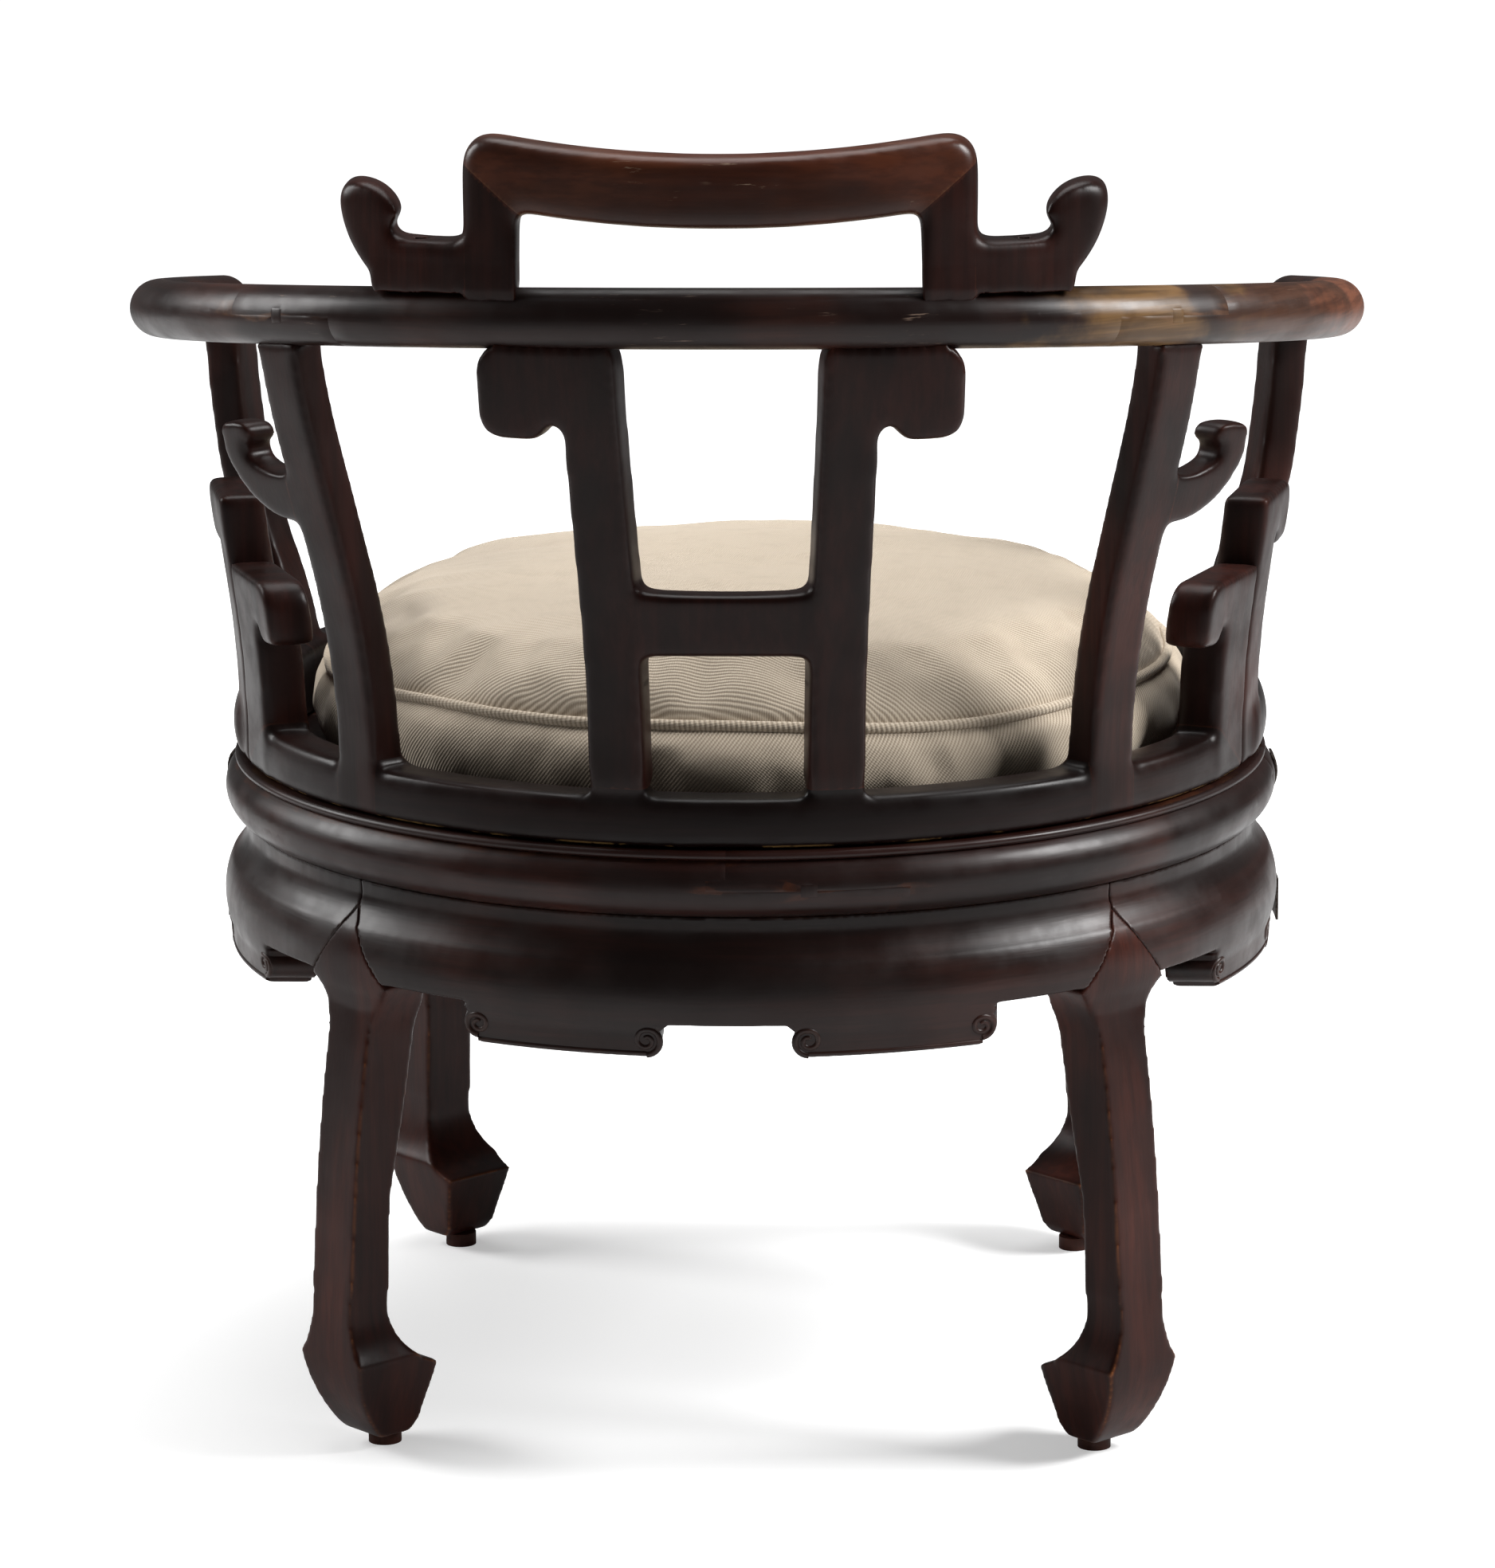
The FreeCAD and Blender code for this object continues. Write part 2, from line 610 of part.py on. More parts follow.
# Ring segments, cut for the keys, the battens and the tenons of the legs
for number, name in enumerate(ring_names):
    start = ring_joints[number][1]
    end = ring_joints[(number + 1) % 4][1]
    if number == 3:
        end = end + half_turn * 2
    middle = (start + end) / 2
    half_span = (end - start) / 2
    segment = new_body(name + "_blank", middle)
    for layer, reach in zip(ring_layers(), layer_reach):
        # A segment starts where the one before it stops in the same layer
        add_turn(segment, draw(segment, "XZ_Plane", layer), half_span - reach, half_span + reach)
    near_legs = [legs["right_back"], legs["right_front"], legs["left_front"], legs["left_back"]]
    segment = cut(name + "_solid", segment, key_blocks, batten_pair, near_legs[number])
    keep(segment, name)
keep(common("ring_key_set", key_blocks, ring_blank), "ring_keys")

# Seat panel, let in flush inside the ring and resting on the battens
panel = new_body("panel_body")
panel_edge = S["ring_inner"] - S["seat_gap"]
add_full_turn(panel, draw(panel, "XZ_Plane", [(zero, batten_top), (panel_edge, batten_top),
                                             (panel_edge, panel_top), (zero, panel_top)]))
keep(panel, "seat_panel")

# Aprons: a moulded band between the legs, with two scrolled lobes on its lower edge
volute = S["volute_radius"]
lobe_end = S["lobe_half_reach"]
waste_floor = lobe_bottom - S["overrun"]


def apron_waste(sign):
    # What is sawn away beside one lobe, out to the leg
    outside = S["apron_reach"] * sign
    tip = (lobe_end - volute * 0.9) * sign
    end = lobe_end * sign
    bottom = lobe_bottom
    return [
        (outside, apron_edge),
        (tip, apron_edge),
        ((lobe_end + volute * 0.15) * sign, apron_edge - volute * 0.75, end, apron_edge - volute * 1.6),
        ((lobe_end - volute * 0.4) * sign, bottom + volute * 0.35,
         (lobe_end - volute * 1.9) * sign, bottom),
        ((lobe_end - volute * 1.9) * sign, waste_floor),
        (outside, waste_floor),
    ]


notch = S["notch_half"]
notch_waste = [
    (-notch, notch_edge), (notch, notch_edge),
    (notch, lobe_bottom + volute * 0.7),
    (notch + volute * 0.3, lobe_bottom + volute * 0.2, notch + volute, lobe_bottom),
    (notch + volute, waste_floor), (-notch - volute, waste_floor),
    (-notch - volute, lobe_bottom),
    (-notch - volute * 0.3, lobe_bottom + volute * 0.2,
     -notch, lobe_bottom + volute * 0.7),
]
apron_turns = {"back": (quarter, "left_back", "right_back"),
               "right": (quarter * 2, "right_back", "right_front"),
               "front": (quarter * 3, "right_front", "left_front"),
               "left": (zero, "left_front", "left_back")}
for side, (turn, first_leg, second_leg) in apron_turns.items():
    apron = new_body(f"apron_{side}_blank", turn)
    section = apron_section(lobe_bottom)
    add_turn(apron, draw(apron, "XZ_Plane", section), S["leg_angle"], S["leg_angle"])
    add_pocket(apron, draw(apron, "YZ_Plane", apron_waste(1), notch_waste, apron_waste(-1)),
               (S["apron_reach"] + S["overrun"]) * 2)
    keep(cut(f"apron_{side}_solid", apron, legs[first_leg], legs[second_leg]), "apron_" + side)

# Arm rail: a round bar bent to a horseshoe in a tilted plane, lapped and keyed at two joints
rail_y = seat_shift + S["rail_axis_back"]


def set_in_rail_plane(body):
    body.Placement = Placement(Vector(0, 0, 0), Rotation(Vector(1, 0, 0), 1))
    bind(body, ".Placement.Rotation.Angle", S["rail_tilt"])
    bind(body, ".Placement.Base.y", rail_y)
    bind(body, ".Placement.Base.z", rail_height)


def half_bar(sign):
    # The upper or lower half of the round bar's section
    radius, half = S["rail_radius"], S["rail_half"]
    slant = half * math.sqrt(0.5)
    return [(radius - half, zero), (radius + half, zero),
            (radius + slant, slant * sign, radius, half * sign),
            (radius - slant, slant * sign, radius - half, zero)]


def rail_cap(name, sign):
    # The rounded end of the bar: half an ellipsoid that points along the bar
    cap = document.addObject("Part::Ellipsoid", name + "_form")
    bind(cap, "Radius1", S["rail_end_round"])
    bind(cap, "Radius2", S["rail_half"])
    bind(cap, "Radius3", S["rail_half"])
    cap.Angle1 = 0
    cap.Placement = Placement(Vector(0, 0, 0), Rotation(Vector(0, 1, 0), 90))
    turned = document.addObject("Part::Compound", name)
    turned.Links = [cap]
    bind(turned, ".Placement.Rotation.Angle", -S["rail_end"] if sign > 0 else half_turn + S["rail_end"])
    bind(turned, ".Placement.Base.x", S["rail_radius"] * sine(S["rail_end"]) * sign)
    bind(turned, ".Placement.Base.y", S["rail_radius"] * cosine(S["rail_end"]))
    return turned


rail_lap = S["rail_lap_angle"] / 2
rail_near = S["rail_radius"] - S["rail_half"]
rail_far = S["rail_radius"] + S["rail_half"]
rail_back = document.addObject("PartDesign::Body", "arm_rail_back_blank")
set_in_rail_plane(rail_back)
for sign in (1, -1):
    # The upper half of the back piece laps over the lower halves of the side pieces
    lap_end = S["rail_joint"] + rail_lap * sign
    add_turn(rail_back, draw(rail_back, "YZ_Plane", half_bar(sign)), lap_end, lap_end)
rail_bar = document.addObject("PartDesign::Body", "arm_rail_bar")
add_turn(rail_bar, draw(rail_bar, "YZ_Plane", [
    (rail_near, zero), (S["rail_radius"], -S["rail_half"], rail_far, zero),
    (S["rail_radius"], S["rail_half"], rail_near, zero)]), S["rail_end"], S["rail_end"])
rail_blank = fuse("arm_rail_blank", rail_bar, rail_cap("rail_cap_left", 1), rail_cap("rail_cap_right", -1))
set_in_rail_plane(rail_blank)
rail_sides = cut("arm_rail_sides", rail_blank, rail_back)
left_side = box("left_side", rail_far + S["overrun"], (rail_far + S["overrun"]) * 2, rail_height * 2,
                zero, -rail_far - S["overrun"], zero)
rail_left = common("arm_rail_left_blank", rail_sides, left_side)


def rail_reach(angle):
    # Where a ray from the rings' axis, turned from the back, meets the arm rail's middle line
    wide = S["rail_radius"]
    deep = S["rail_radius"] * cosine(S["rail_tilt"])
    off = S["rail_axis_back"]
    a = sine(angle) * sine(angle) / (wide * wide) + cosine(angle) * cosine(angle) / (deep * deep)
    b = cosine(angle) * off / (deep * deep)
    c = off * off / (deep * deep) - 1
    return (b + root(b * b - a * c)) / a


def rail_level(angle):
    # How high the arm rail's middle line is there
    slope = sine(S["rail_tilt"]) / cosine(S["rail_tilt"])
    return rail_height + (rail_reach(angle) * cosine(angle) - S["rail_axis_back"]) * slope


def rail_key_block(name, sign):
    # A square key through the rail at the middle of a joint, along the radius
    body = document.addObject("PartDesign::Body", name)
    set_in_rail_plane(body)
    half = S["rail_key_width"] / 2
    across = sine(S["rail_joint"]) * sign
    along = cosine(S["rail_joint"])
    near = S["rail_radius"] - S["rail_half"] * 2
    far = S["rail_radius"] + S["rail_half"] * 2
    corners = []
    for distance, offset in ((near, half), (far, half), (far, -half), (near, -half)):
        corners.append((distance * across + offset * along, distance * along - offset * across))
    add_pad(body, draw(body, "XY_Plane", corners), S["rail_key_width"])
    return body


rail_keys = fuse("rail_key_blocks", rail_key_block("rail_key_left", 1), rail_key_block("rail_key_right", -1))

# Posts and hooks rise from the ring in the plane of the radius. The table gives shares of the
# height, and of the outward lean, along the outer face.
post_shares = {"calm": (0.10, 0.0), "rise": (0.30, 0.10), "lean": (0.50, 0.34),
               "high": (0.77, 0.76), "turn": (0.87, 0.89), "head": (1.0, 1.0)}
front_shares = {"calm": (0.10, 0.0), "rise": (0.26, 0.16), "lean": (0.42, 0.47),
                "high": (0.58, 0.76), "turn": (0.72, 0.88), "head": (1.0, 1.0)}
hook_shares = {"calm": (0.15, 0.0), "rise": (0.38, 0.12), "lean": (0.62, 0.42),
               "high": (0.80, 0.72), "turn": (0.90, 0.89), "head": (1.0, 1.0)}


def post_side(height, lean, depth, shares):
    foot = S["rail_foot_radius"]
    deep_foot = foot - S["rail_foot_depth"]

    def outer(name):
        up_share, lean_share = shares[name]
        return (foot + lean * lean_share, ring_top + height * up_share)

    def inner(name):
        radius, level = outer(name)
        return (radius - depth, level)

    calm = outer("calm")
    step = S["rail_foot_depth"] - depth
    return [
        (deep_foot, ring_top), (foot, ring_top), calm,
        outer("rise") + outer("lean"), outer("high"), outer("turn") + outer("head"),
        inner("head"), inner("turn") + inner("high"), inner("lean"),
        inner("rise") + (foot - depth, calm[1] + step * 0.6),
        (deep_foot + step * 0.35, calm[1] + step * 0.2, deep_foot, calm[1] - step * 0.3),
    ]


def make_post(name, angle, width, height, lean, depth, shares, face=None):
    side = new_body(name + "_side", angle)
    add_pad(side, draw(side, "XZ_Plane", post_side(height, lean, depth, shares)), width)
    if face is None:
        return side
    front = new_body(name + "_face", angle)
    add_pad(front, draw(front, "YZ_Plane", face), (S["rail_radius"] + S["overrun"]) * 2)
    return common(name + "_shaped", side, front)


def post_top(lean, depth):
    # The tenon that stands up into the arm rail from the middle of a post's head
    middle = S["rail_foot_radius"] + lean - depth / 2
    return (middle - S["post_tenon_depth"] / 2, middle + S["post_tenon_depth"] / 2)


def under_rail(name, post, angle, height, lean, depth):
    # Scribe a post to the underside of the arm rail and give it its tenon
    scribed = cut(name + "_scribed", post, rail_blank)
    inner, outer = post_top(lean, depth)
    top = ring_top + height
    tenon = radial_block(name + "_tenon", angle, inner, outer, S["post_tenon_width"],
                         top - S["rail_half"] * 1.9, top + S["post_tenon_rise"])
    return fuse(name, scribed, tenon), tenon


def post_measures(angle, depth, inset):
    # A post's height above the ring, its outward lean and its depth
    height = rail_level(angle) - ring_top
    lean = rail_reach(angle) - inset + depth / 2 - S["rail_foot_radius"]
    return height, lean, depth


# Rear posts
rear_args = post_measures(S["rear_post_angle"], S["rear_post_depth"], S["post_inset"])
rear_turn = left(S["rear_post_angle"])
rear_blank = make_post("rear_post_left", rear_turn, S["rear_post_width"], *rear_args, post_shares)
rear_left, rear_tenon = under_rail("rear_post_left_solid", rear_blank, rear_turn, *rear_args)
rear_right = mirror("rear_post_right_solid", rear_left)
keep(rear_left, "rear_post_left")
keep(rear_right, "rear_post_right")

# Centre posts: their heads are hooks that turn outwards under the arm rail
centre_args = post_measures(S["centre_post_angle"], S["centre_post_depth"], S["post_inset"])
centre_turn = left(S["centre_post_angle"])
head_top = ring_top + centre_args[0]
head_base = head_top - S["centre_head_height"]
head = S["centre_head_height"]
reach = S["centre_head_reach"]
half = S["centre_post_width"] / 2
spare = reach - half
floor = ring_top - S["overrun"]
full_top = ring_top + S["base_rail_height"] + S["base_rail_rise"]
roof = head_top + S["overrun"]
# Seen from behind on the left of the chair, outwards is towards -Y in the body's own frame
centre_face = [
    (half, full_top), (half, head_top - head * 0.42),
    (half - half * 0.15, head_top - head * 0.25, half * 0.45, head_top - head * 0.16),
    (half * 0.45, roof),
    (-half - spare * 0.76, roof), (-half - spare * 0.76, head_top - head * 0.25),
    (-half - spare * 0.935, head_top - head * 0.33, -reach, head_top - head * 0.48),
    (-reach, head_base + head * 0.17),
    (-half - spare * 0.92, head_base + head * 0.03, -half - spare * 0.74, head_base - head * 0.02),
    (-half - spare * 0.32, head_base - head * 0.03),
    (-half - spare * 0.2, head_base + head * 0.07, -half - spare * 0.13, head_base + head * 0.12),
    (-half - spare * 0.04, head_base + head * 0.08, -half, head_base - head * 0.1),
    (-half, full_top),
]
centre_blank = make_post("centre_post_left", centre_turn, reach * 2 + S["overrun"], *centre_args,
                         post_shares, centre_face)
centre_stem, centre_tenon = under_rail("centre_post_left_stem", centre_blank, centre_turn, *centre_args)
foot_middle = S["rail_foot_radius"] - S["centre_post_depth"] / 2
centre_foot = radial_block("centre_post_left_foot", centre_turn, foot_middle - S["post_tenon_depth"] / 2,
                           foot_middle + S["post_tenon_depth"] / 2, S["post_tenon_width"],
                           full_top - S["foot_tenon"], full_top)
centre_left = fuse("centre_post_left_solid", centre_stem, centre_foot)
centre_right = mirror("centre_post_right_solid", centre_left)
keep(centre_left, "centre_post_left")
keep(centre_right, "centre_post_right")

# Front posts
front_args = post_measures(S["front_post_angle"], S["front_post_depth"], S["front_post_inset"])
front_turn = left(S["front_post_angle"])
front_blank = make_post("front_post_left", front_turn, S["front_post_width"], *front_args, front_shares)
front_left, front_tenon = under_rail("front_post_left_solid", front_blank, front_turn, *front_args)
front_right = mirror("front_post_right_solid", front_left)
keep(front_left, "front_post_left")
keep(front_right, "front_post_right")

# Arm rail pieces, mortised for the posts' tenons
tenons_left = [rear_tenon, centre_tenon, front_tenon]
tenon_set = fuse("rail_tenon_set", *tenons_left)
tenon_mirror = mirror("rail_tenon_mirror", tenon_set)
arm_left = cut("arm_rail_left_solid", rail_left, rail_keys, tenon_set)
keep(arm_left, "arm_rail_left")
keep(mirror("arm_rail_right_solid", arm_left), "arm_rail_right")
keep(common("rail_key_set", rail_keys, rail_blank), "arm_rail_keys")


# Side hooks: short ones that curl to the rear and tall ones that curl to the front
def hook_face(height, sign):
    top = ring_top + height
    low = top - S["hook_head_height"]
    shaft = S["hook_width"] / 2
    end = S["hook_head_reach"]
    room = end - shaft
    drop = S["hook_head_height"]
    outline = [
        (-shaft, floor), (-shaft, top),
        (end - room * 0.45, top),
        (end - room * 0.1, top - drop * 0.12, end, top - drop * 0.42),
        (end, low + drop * 0.12),
        (end - room * 0.08, low + drop * 0.02, end - room * 0.25, low),
        (end - room * 0.62, low - drop * 0.04),
        (shaft + room * 0.22, low + drop * 0.1, shaft + room * 0.14, low + drop * 0.26),
        (shaft + room * 0.04, low + drop * 0.18, shaft, low - drop * 0.12),
        (shaft, floor),
    ]
    mirrored = []
    for step in outline:
        flipped = []
        for number, value in enumerate(step):
            flipped.append(value * sign if number % 2 == 0 else value)
        mirrored.append(tuple(flipped))
    return mirrored


def make_hook(name, turn, height, sign):
    # Both hooks follow the tall one's side, and the short one ends lower
    return make_post(name, turn, S["hook_head_reach"] * 2 + S["overrun"], S["tall_hook_height"],
                     S["hook_lean"], S["hook_depth"], hook_shares, hook_face(height, sign))


# On the left side of the chair +Y of a body's own frame points to the back of the chair
hook_meeting = left((S["tall_hook_angle"] + S["short_hook_angle"]) / 2)
hook_room = S["ring_radius"] + S["overrun"]
beyond = box("beyond_the_tall_hook", hook_room, hook_room, S["tall_hook_height"] * 2,
             zero, seat_shift, ring_top)
bind(beyond, ".Placement.Rotation.Angle", hook_meeting)
before = box("before_the_short_hook", hook_room, hook_room, S["tall_hook_height"] * 2,
             hook_room * sine(hook_meeting), seat_shift - hook_room * cosine(hook_meeting), ring_top)
bind(before, ".Placement.Rotation.Angle", hook_meeting)
tall_left = cut("tall_hook_left_solid",
                make_hook("tall_hook_left", left(S["tall_hook_angle"]), S["tall_hook_height"], -1), beyond)
short_left = cut("short_hook_left_solid",
                 make_hook("short_hook_left", left(S["short_hook_angle"]), S["short_hook_height"], 1), before)
keep(short_left, "short_hook_left")
keep(tall_left, "tall_hook_left")
keep(mirror("short_hook_right_solid", short_left), "short_hook_right")
keep(mirror("tall_hook_right_solid", tall_left), "tall_hook_right")

# Base rails on the ring between the posts, scooped so that they rise at the posts
rail_edge = S["rail_foot_radius"]
rail_inner = rail_edge - S["rail_foot_depth"]
rail_top = ring_top + S["base_rail_height"]


def base_rail(name, start, end, top, bulge, tools):
    middle = (start + end) / 2
    half_span = (start - end) / 2
    body = new_body(name + "_blank", left(middle))
    rise = top - ring_top
    upper = (rail_edge - S["base_rail_rise"] * 0.4, ring_top + rise * 0.9)
    if bulge is None:
        side = [(rail_edge, ring_top + rise * 0.5),
                (rail_edge - S["base_rail_rise"] * 0.11, ring_top + rise * 0.7) + upper]
    else:
        side = [(rail_edge + bulge, ring_top + rise * 0.5) + upper]
    section = [(rail_inner, ring_top), (rail_edge, ring_top), *side,
               (rail_edge - S["base_rail_rise"] * 0.8, top - rise * 0.03,
                rail_edge - S["base_rail_rise"] * 1.6, top),
               (rail_inner, top)]
    add_turn(body, draw(body, "XZ_Plane", section), half_span, half_span)
    return cut(name + "_solid", body, *tools)


def rail_scoop(name, middle, half_length):
    # A shallow scoop in the top of a base rail, with round ends
    body = new_body(name, left(middle))
    rise = S["base_rail_rise"]
    outline = [(-half_length, full_top + rise), (-half_length, full_top),
               (-half_length + rise * 0.4, rail_top + rise * 0.25, -half_length + rise * 1.6, rail_top),
               (half_length - rise * 1.6, rail_top),
               (half_length - rise * 0.4, rail_top + rise * 0.25, half_length, full_top),
               (half_length, full_top + rise)]
    pad = body.newObject("PartDesign::Pad", name + "_pad")
    pad.Profile = draw(body, "YZ_Plane", outline)
    bind(pad, "Length", rail_edge + S["overrun"])
    return body


hook_edge = S["short_hook_angle"]
centre_edge = S["centre_post_angle"]
rear_edge = S["rear_post_angle"]
degree = half_turn / math.pi
rear_half_angle = S["rear_post_width"] / 2 / rail_edge * degree
centre_half_angle = S["centre_post_width"] / 2 / rail_edge * degree
hook_half_angle = S["hook_width"] / 2 / rail_edge * degree
middle_scoop = rail_scoop("scoop_middle", zero, rail_edge * sine(centre_edge - centre_half_angle))
between = (rear_edge - rear_half_angle + centre_edge + centre_half_angle) / 2
between_half = rail_edge * sine((rear_edge - rear_half_angle - centre_edge - centre_half_angle) / 2)
side_scoop_left = rail_scoop("scoop_between_left", between, between_half)
side_scoop_right = mirror("scoop_between_right", side_scoop_left)
keep(base_rail("base_rail_back", rear_edge, -rear_edge, full_top, None,
               (rear_left, rear_right, centre_left, centre_right, middle_scoop, side_scoop_left,
                side_scoop_right)), "base_rail_back")
side_middle = (rear_edge + rear_half_angle + hook_edge - hook_half_angle) / 2
side_half = rail_edge * sine((hook_edge - hook_half_angle - rear_edge - rear_half_angle) / 2)
side_rail = base_rail("base_rail_left", hook_edge, rear_edge, full_top, None,
                      (rear_left, short_left, rail_scoop("scoop_side_left", side_middle, side_half)))
keep(side_rail, "base_rail_left")
keep(mirror("base_rail_right_solid", side_rail), "base_rail_right")
front_rail = base_rail("front_rail_left", S["front_rail_end"], S["tall_hook_angle"],
                       ring_top + S["front_rail_height"], S["front_rail_bulge"],
                       (tall_left, front_left))
keep(front_rail, "base_rail_front_left")
keep(mirror("base_rail_front_right_solid", front_rail), "base_rail_front_right")

# Cross rail between the centre posts
cross = new_body("cross_rail_side", quarter)
recess = S["cross_rail_depth"] * 0.08
cross_low = ring_top + S["cross_rail_rise"]
cross_high = cross_low + S["cross_rail_height"]
low_radius = rail_edge + centre_args[1] * 0.17 - recess
high_radius = rail_edge + centre_args[1] * 0.35 - recess
add_pad(cross, draw(cross, "XZ_Plane", [
    (low_radius - S["cross_rail_depth"], cross_low), (low_radius, cross_low),
    (high_radius, cross_high), (high_radius - S["cross_rail_depth"], cross_high)]),
    reach * 2)
cross_face = new_body("cross_rail_face", quarter)
cross_half = rail_edge * sine(centre_edge)
add_pad(cross_face, draw(cross_face, "YZ_Plane", [
    (-cross_half, cross_low), (cross_half, cross_low),
    (cross_half, cross_high),
    (zero, cross_high - S["cross_rail_dip"], -cross_half, cross_high)]),
    (rail_far + S["overrun"]) * 2)
cross_shaped = common("cross_rail_shaped", cross, cross_face)
cross_rail = cut("cross_rail_solid", cross_shaped, centre_left, centre_right)
keep(cross_rail, "centre_cross_rail")

# Brackets on the rear posts: hooks that reach forward and curl up
bracket_start = S["rear_post_width"] / 2
span = S["bracket_reach"] - bracket_start
tall = S["bracket_height"]
arm = tall * 0.52
bracket_low = ring_top + S["bracket_rise"]
bracket_high = bracket_low + tall
bracket_face = [
    (-bracket_start, bracket_low),
    (-bracket_start - span * 0.68, bracket_low + tall * 0.17, -S["bracket_reach"], bracket_low + tall * 0.66),
    (-S["bracket_reach"] + span * 0.02, bracket_low + tall * 0.93),
    (-S["bracket_reach"] + span * 0.1, bracket_high),
    (-S["bracket_reach"] + span * 0.42, bracket_high + tall * 0.02),
    (-S["bracket_reach"] + span * 0.53, bracket_high - tall * 0.08,
     -S["bracket_reach"] + span * 0.47, bracket_high - tall * 0.2),
    (-S["bracket_reach"] + span * 0.36, bracket_high - tall * 0.3,
     -S["bracket_reach"] + span * 0.46, bracket_high - tall * 0.4),
    (-S["bracket_reach"] + span * 0.66, bracket_low + tall * 0.535, -bracket_start, bracket_low + arm),
]
bracket_blank = make_post("bracket_left", rear_turn, S["bracket_reach"] * 2 + S["overrun"], *rear_args,
                          post_shares, bracket_face)
keep(bracket_blank, "rear_bracket_left")
keep(mirror("bracket_right_solid", bracket_blank), "rear_bracket_right")

# Crest on the arm rail: a rail mitred on two posts, with a hooked ear on each side
crest_in = crest_radius - S["crest_depth"] / 2
crest_out = crest_radius + S["crest_depth"] / 2


def rail_level_at(x):
    # The arm rail's middle line at a distance from the chair's middle
    return rail_height + root(S["rail_radius"] * S["rail_radius"] - x * x) * sine(S["rail_tilt"])


crest_low = rail_level_at(S["crest_half_width"])
ear_foot = rail_level_at(S["ear_reach"])
crest_ring = document.addObject("PartDesign::Body", "crest_ring")
bind(crest_ring, ".Placement.Base.y", rail_y)
soft = S["crest_round"]
add_turn(crest_ring, draw(crest_ring, "YZ_Plane", [
    (crest_in, ear_foot), (crest_out, ear_foot), (crest_out, crest_top), (crest_in, crest_top)]),
    quarter / 2, quarter / 2)
crest_half = S["crest_half_width"]
crest_inner_half = crest_half - S["crest_post_width"]
crest_under = crest_top - S["crest_rail_height"]


def crest_prism(name, outline):
    body = document.addObject("PartDesign::Body", name)
    add_pad(body, draw(body, "XZ_Plane", outline), (S["rail_radius"] + S["overrun"]) * 4)
    return common(name + "_shaped", crest_ring, body)


crest_rail = crest_prism("crest_rail_outline", [
    (-crest_half + soft, crest_top),
    (zero, crest_top - S["crest_dip"], crest_half - soft, crest_top),
    (crest_half - soft * 0.3, crest_top - soft * 0.3, crest_half, crest_top - soft),
    (crest_inner_half, crest_under),
    (zero, crest_under - S["crest_dip"] * 0.8, -crest_inner_half, crest_under),
    (-crest_half, crest_top - soft),
    (-crest_half + soft * 0.3, crest_top - soft * 0.3, -crest_half + soft, crest_top)])
keep(crest_rail, "crest_rail")
crest_post = crest_prism("crest_post_outline", [
    (crest_half, crest_top - soft), (crest_half, crest_low), (crest_inner_half, crest_low),
    (crest_inner_half, crest_under)])
crest_post = cut("crest_post_left_solid", crest_post, rail_blank)
keep(crest_post, "crest_post_left")
keep(mirror("crest_post_right_solid", crest_post), "crest_post_right")

ear_span = S["ear_reach"] - crest_half
ear_tall = S["ear_height"]
ear_high = crest_top - S["ear_drop"]
ear_low = ear_high - ear_tall
saddle = ear_high - ear_tall * 0.6
ear_outline = [
    (crest_half, ear_foot), (crest_half + ear_span * 0.76, ear_foot),
    (crest_half + ear_span * 0.76, ear_low),
    (crest_half + ear_span * 0.93, ear_low + ear_tall * 0.36, S["ear_reach"], ear_low + ear_tall * 0.78),
    (crest_half + ear_span * 0.97, ear_high - ear_tall * 0.07, crest_half + ear_span * 0.84, ear_high),
    (crest_half + ear_span * 0.65, ear_high - ear_tall * 0.08,
     crest_half + ear_span * 0.53, ear_high - ear_tall * 0.29),
    (crest_half + ear_span * 0.535, ear_high - ear_tall * 0.38,
     crest_half + ear_span * 0.6, ear_high - ear_tall * 0.42),
    (crest_half + ear_span * 0.57, saddle + ear_tall * 0.05, crest_half + ear_span * 0.44, saddle),
    (crest_half + ear_span * 0.1, saddle),
    (crest_half, saddle + ear_tall * 0.04),
]
rail_room = document.addObject("PartDesign::Body", "room_over_the_rail")
set_in_rail_plane(rail_room)
room_half = S["rail_half"] + S["ear_gap"]
add_turn(rail_room, draw(rail_room, "YZ_Plane", [
    (S["rail_radius"] - room_half, zero),
    (S["rail_radius"], -room_half, S["rail_radius"] + room_half, zero),
    (S["rail_radius"], room_half, S["rail_radius"] - room_half, zero)]), S["rail_joint"], S["rail_joint"])
ear = cut("crest_ear_left_solid", crest_prism("crest_ear_outline", ear_outline), rail_room)

# A peg through each ear pins it to the arm rail
peg_turn = S["ear_reach"] - ear_span * 0.64
peg_away = root(crest_radius * crest_radius - peg_turn * peg_turn)
peg = document.addObject("Part::Cylinder", "ear_peg_left")
bind(peg, "Radius", S["peg_radius"])
bind(peg, "Height", S["peg_length"])
bind(peg, ".Placement.Base.x", peg_turn)
bind(peg, ".Placement.Base.y", rail_y + peg_away)
bind(peg, ".Placement.Base.z", saddle - S["peg_length"])
peg_right = mirror("ear_peg_right", peg)
pegs = document.addObject("Part::Compound", "ear_peg_pair")
pegs.Links = [peg, peg_right]
keep(pegs, "ear_pegs")
ear_left = cut("crest_ear_left_pegged", ear, peg)
keep(ear_left, "crest_ear_left")
keep(mirror("crest_ear_right_solid", ear_left), "crest_ear_right")
rail_holes = (rail_keys, tenon_set, tenon_mirror, peg, peg_right)
keep(cut("arm_rail_back_solid", rail_back, *rail_holes), "arm_rail_back")


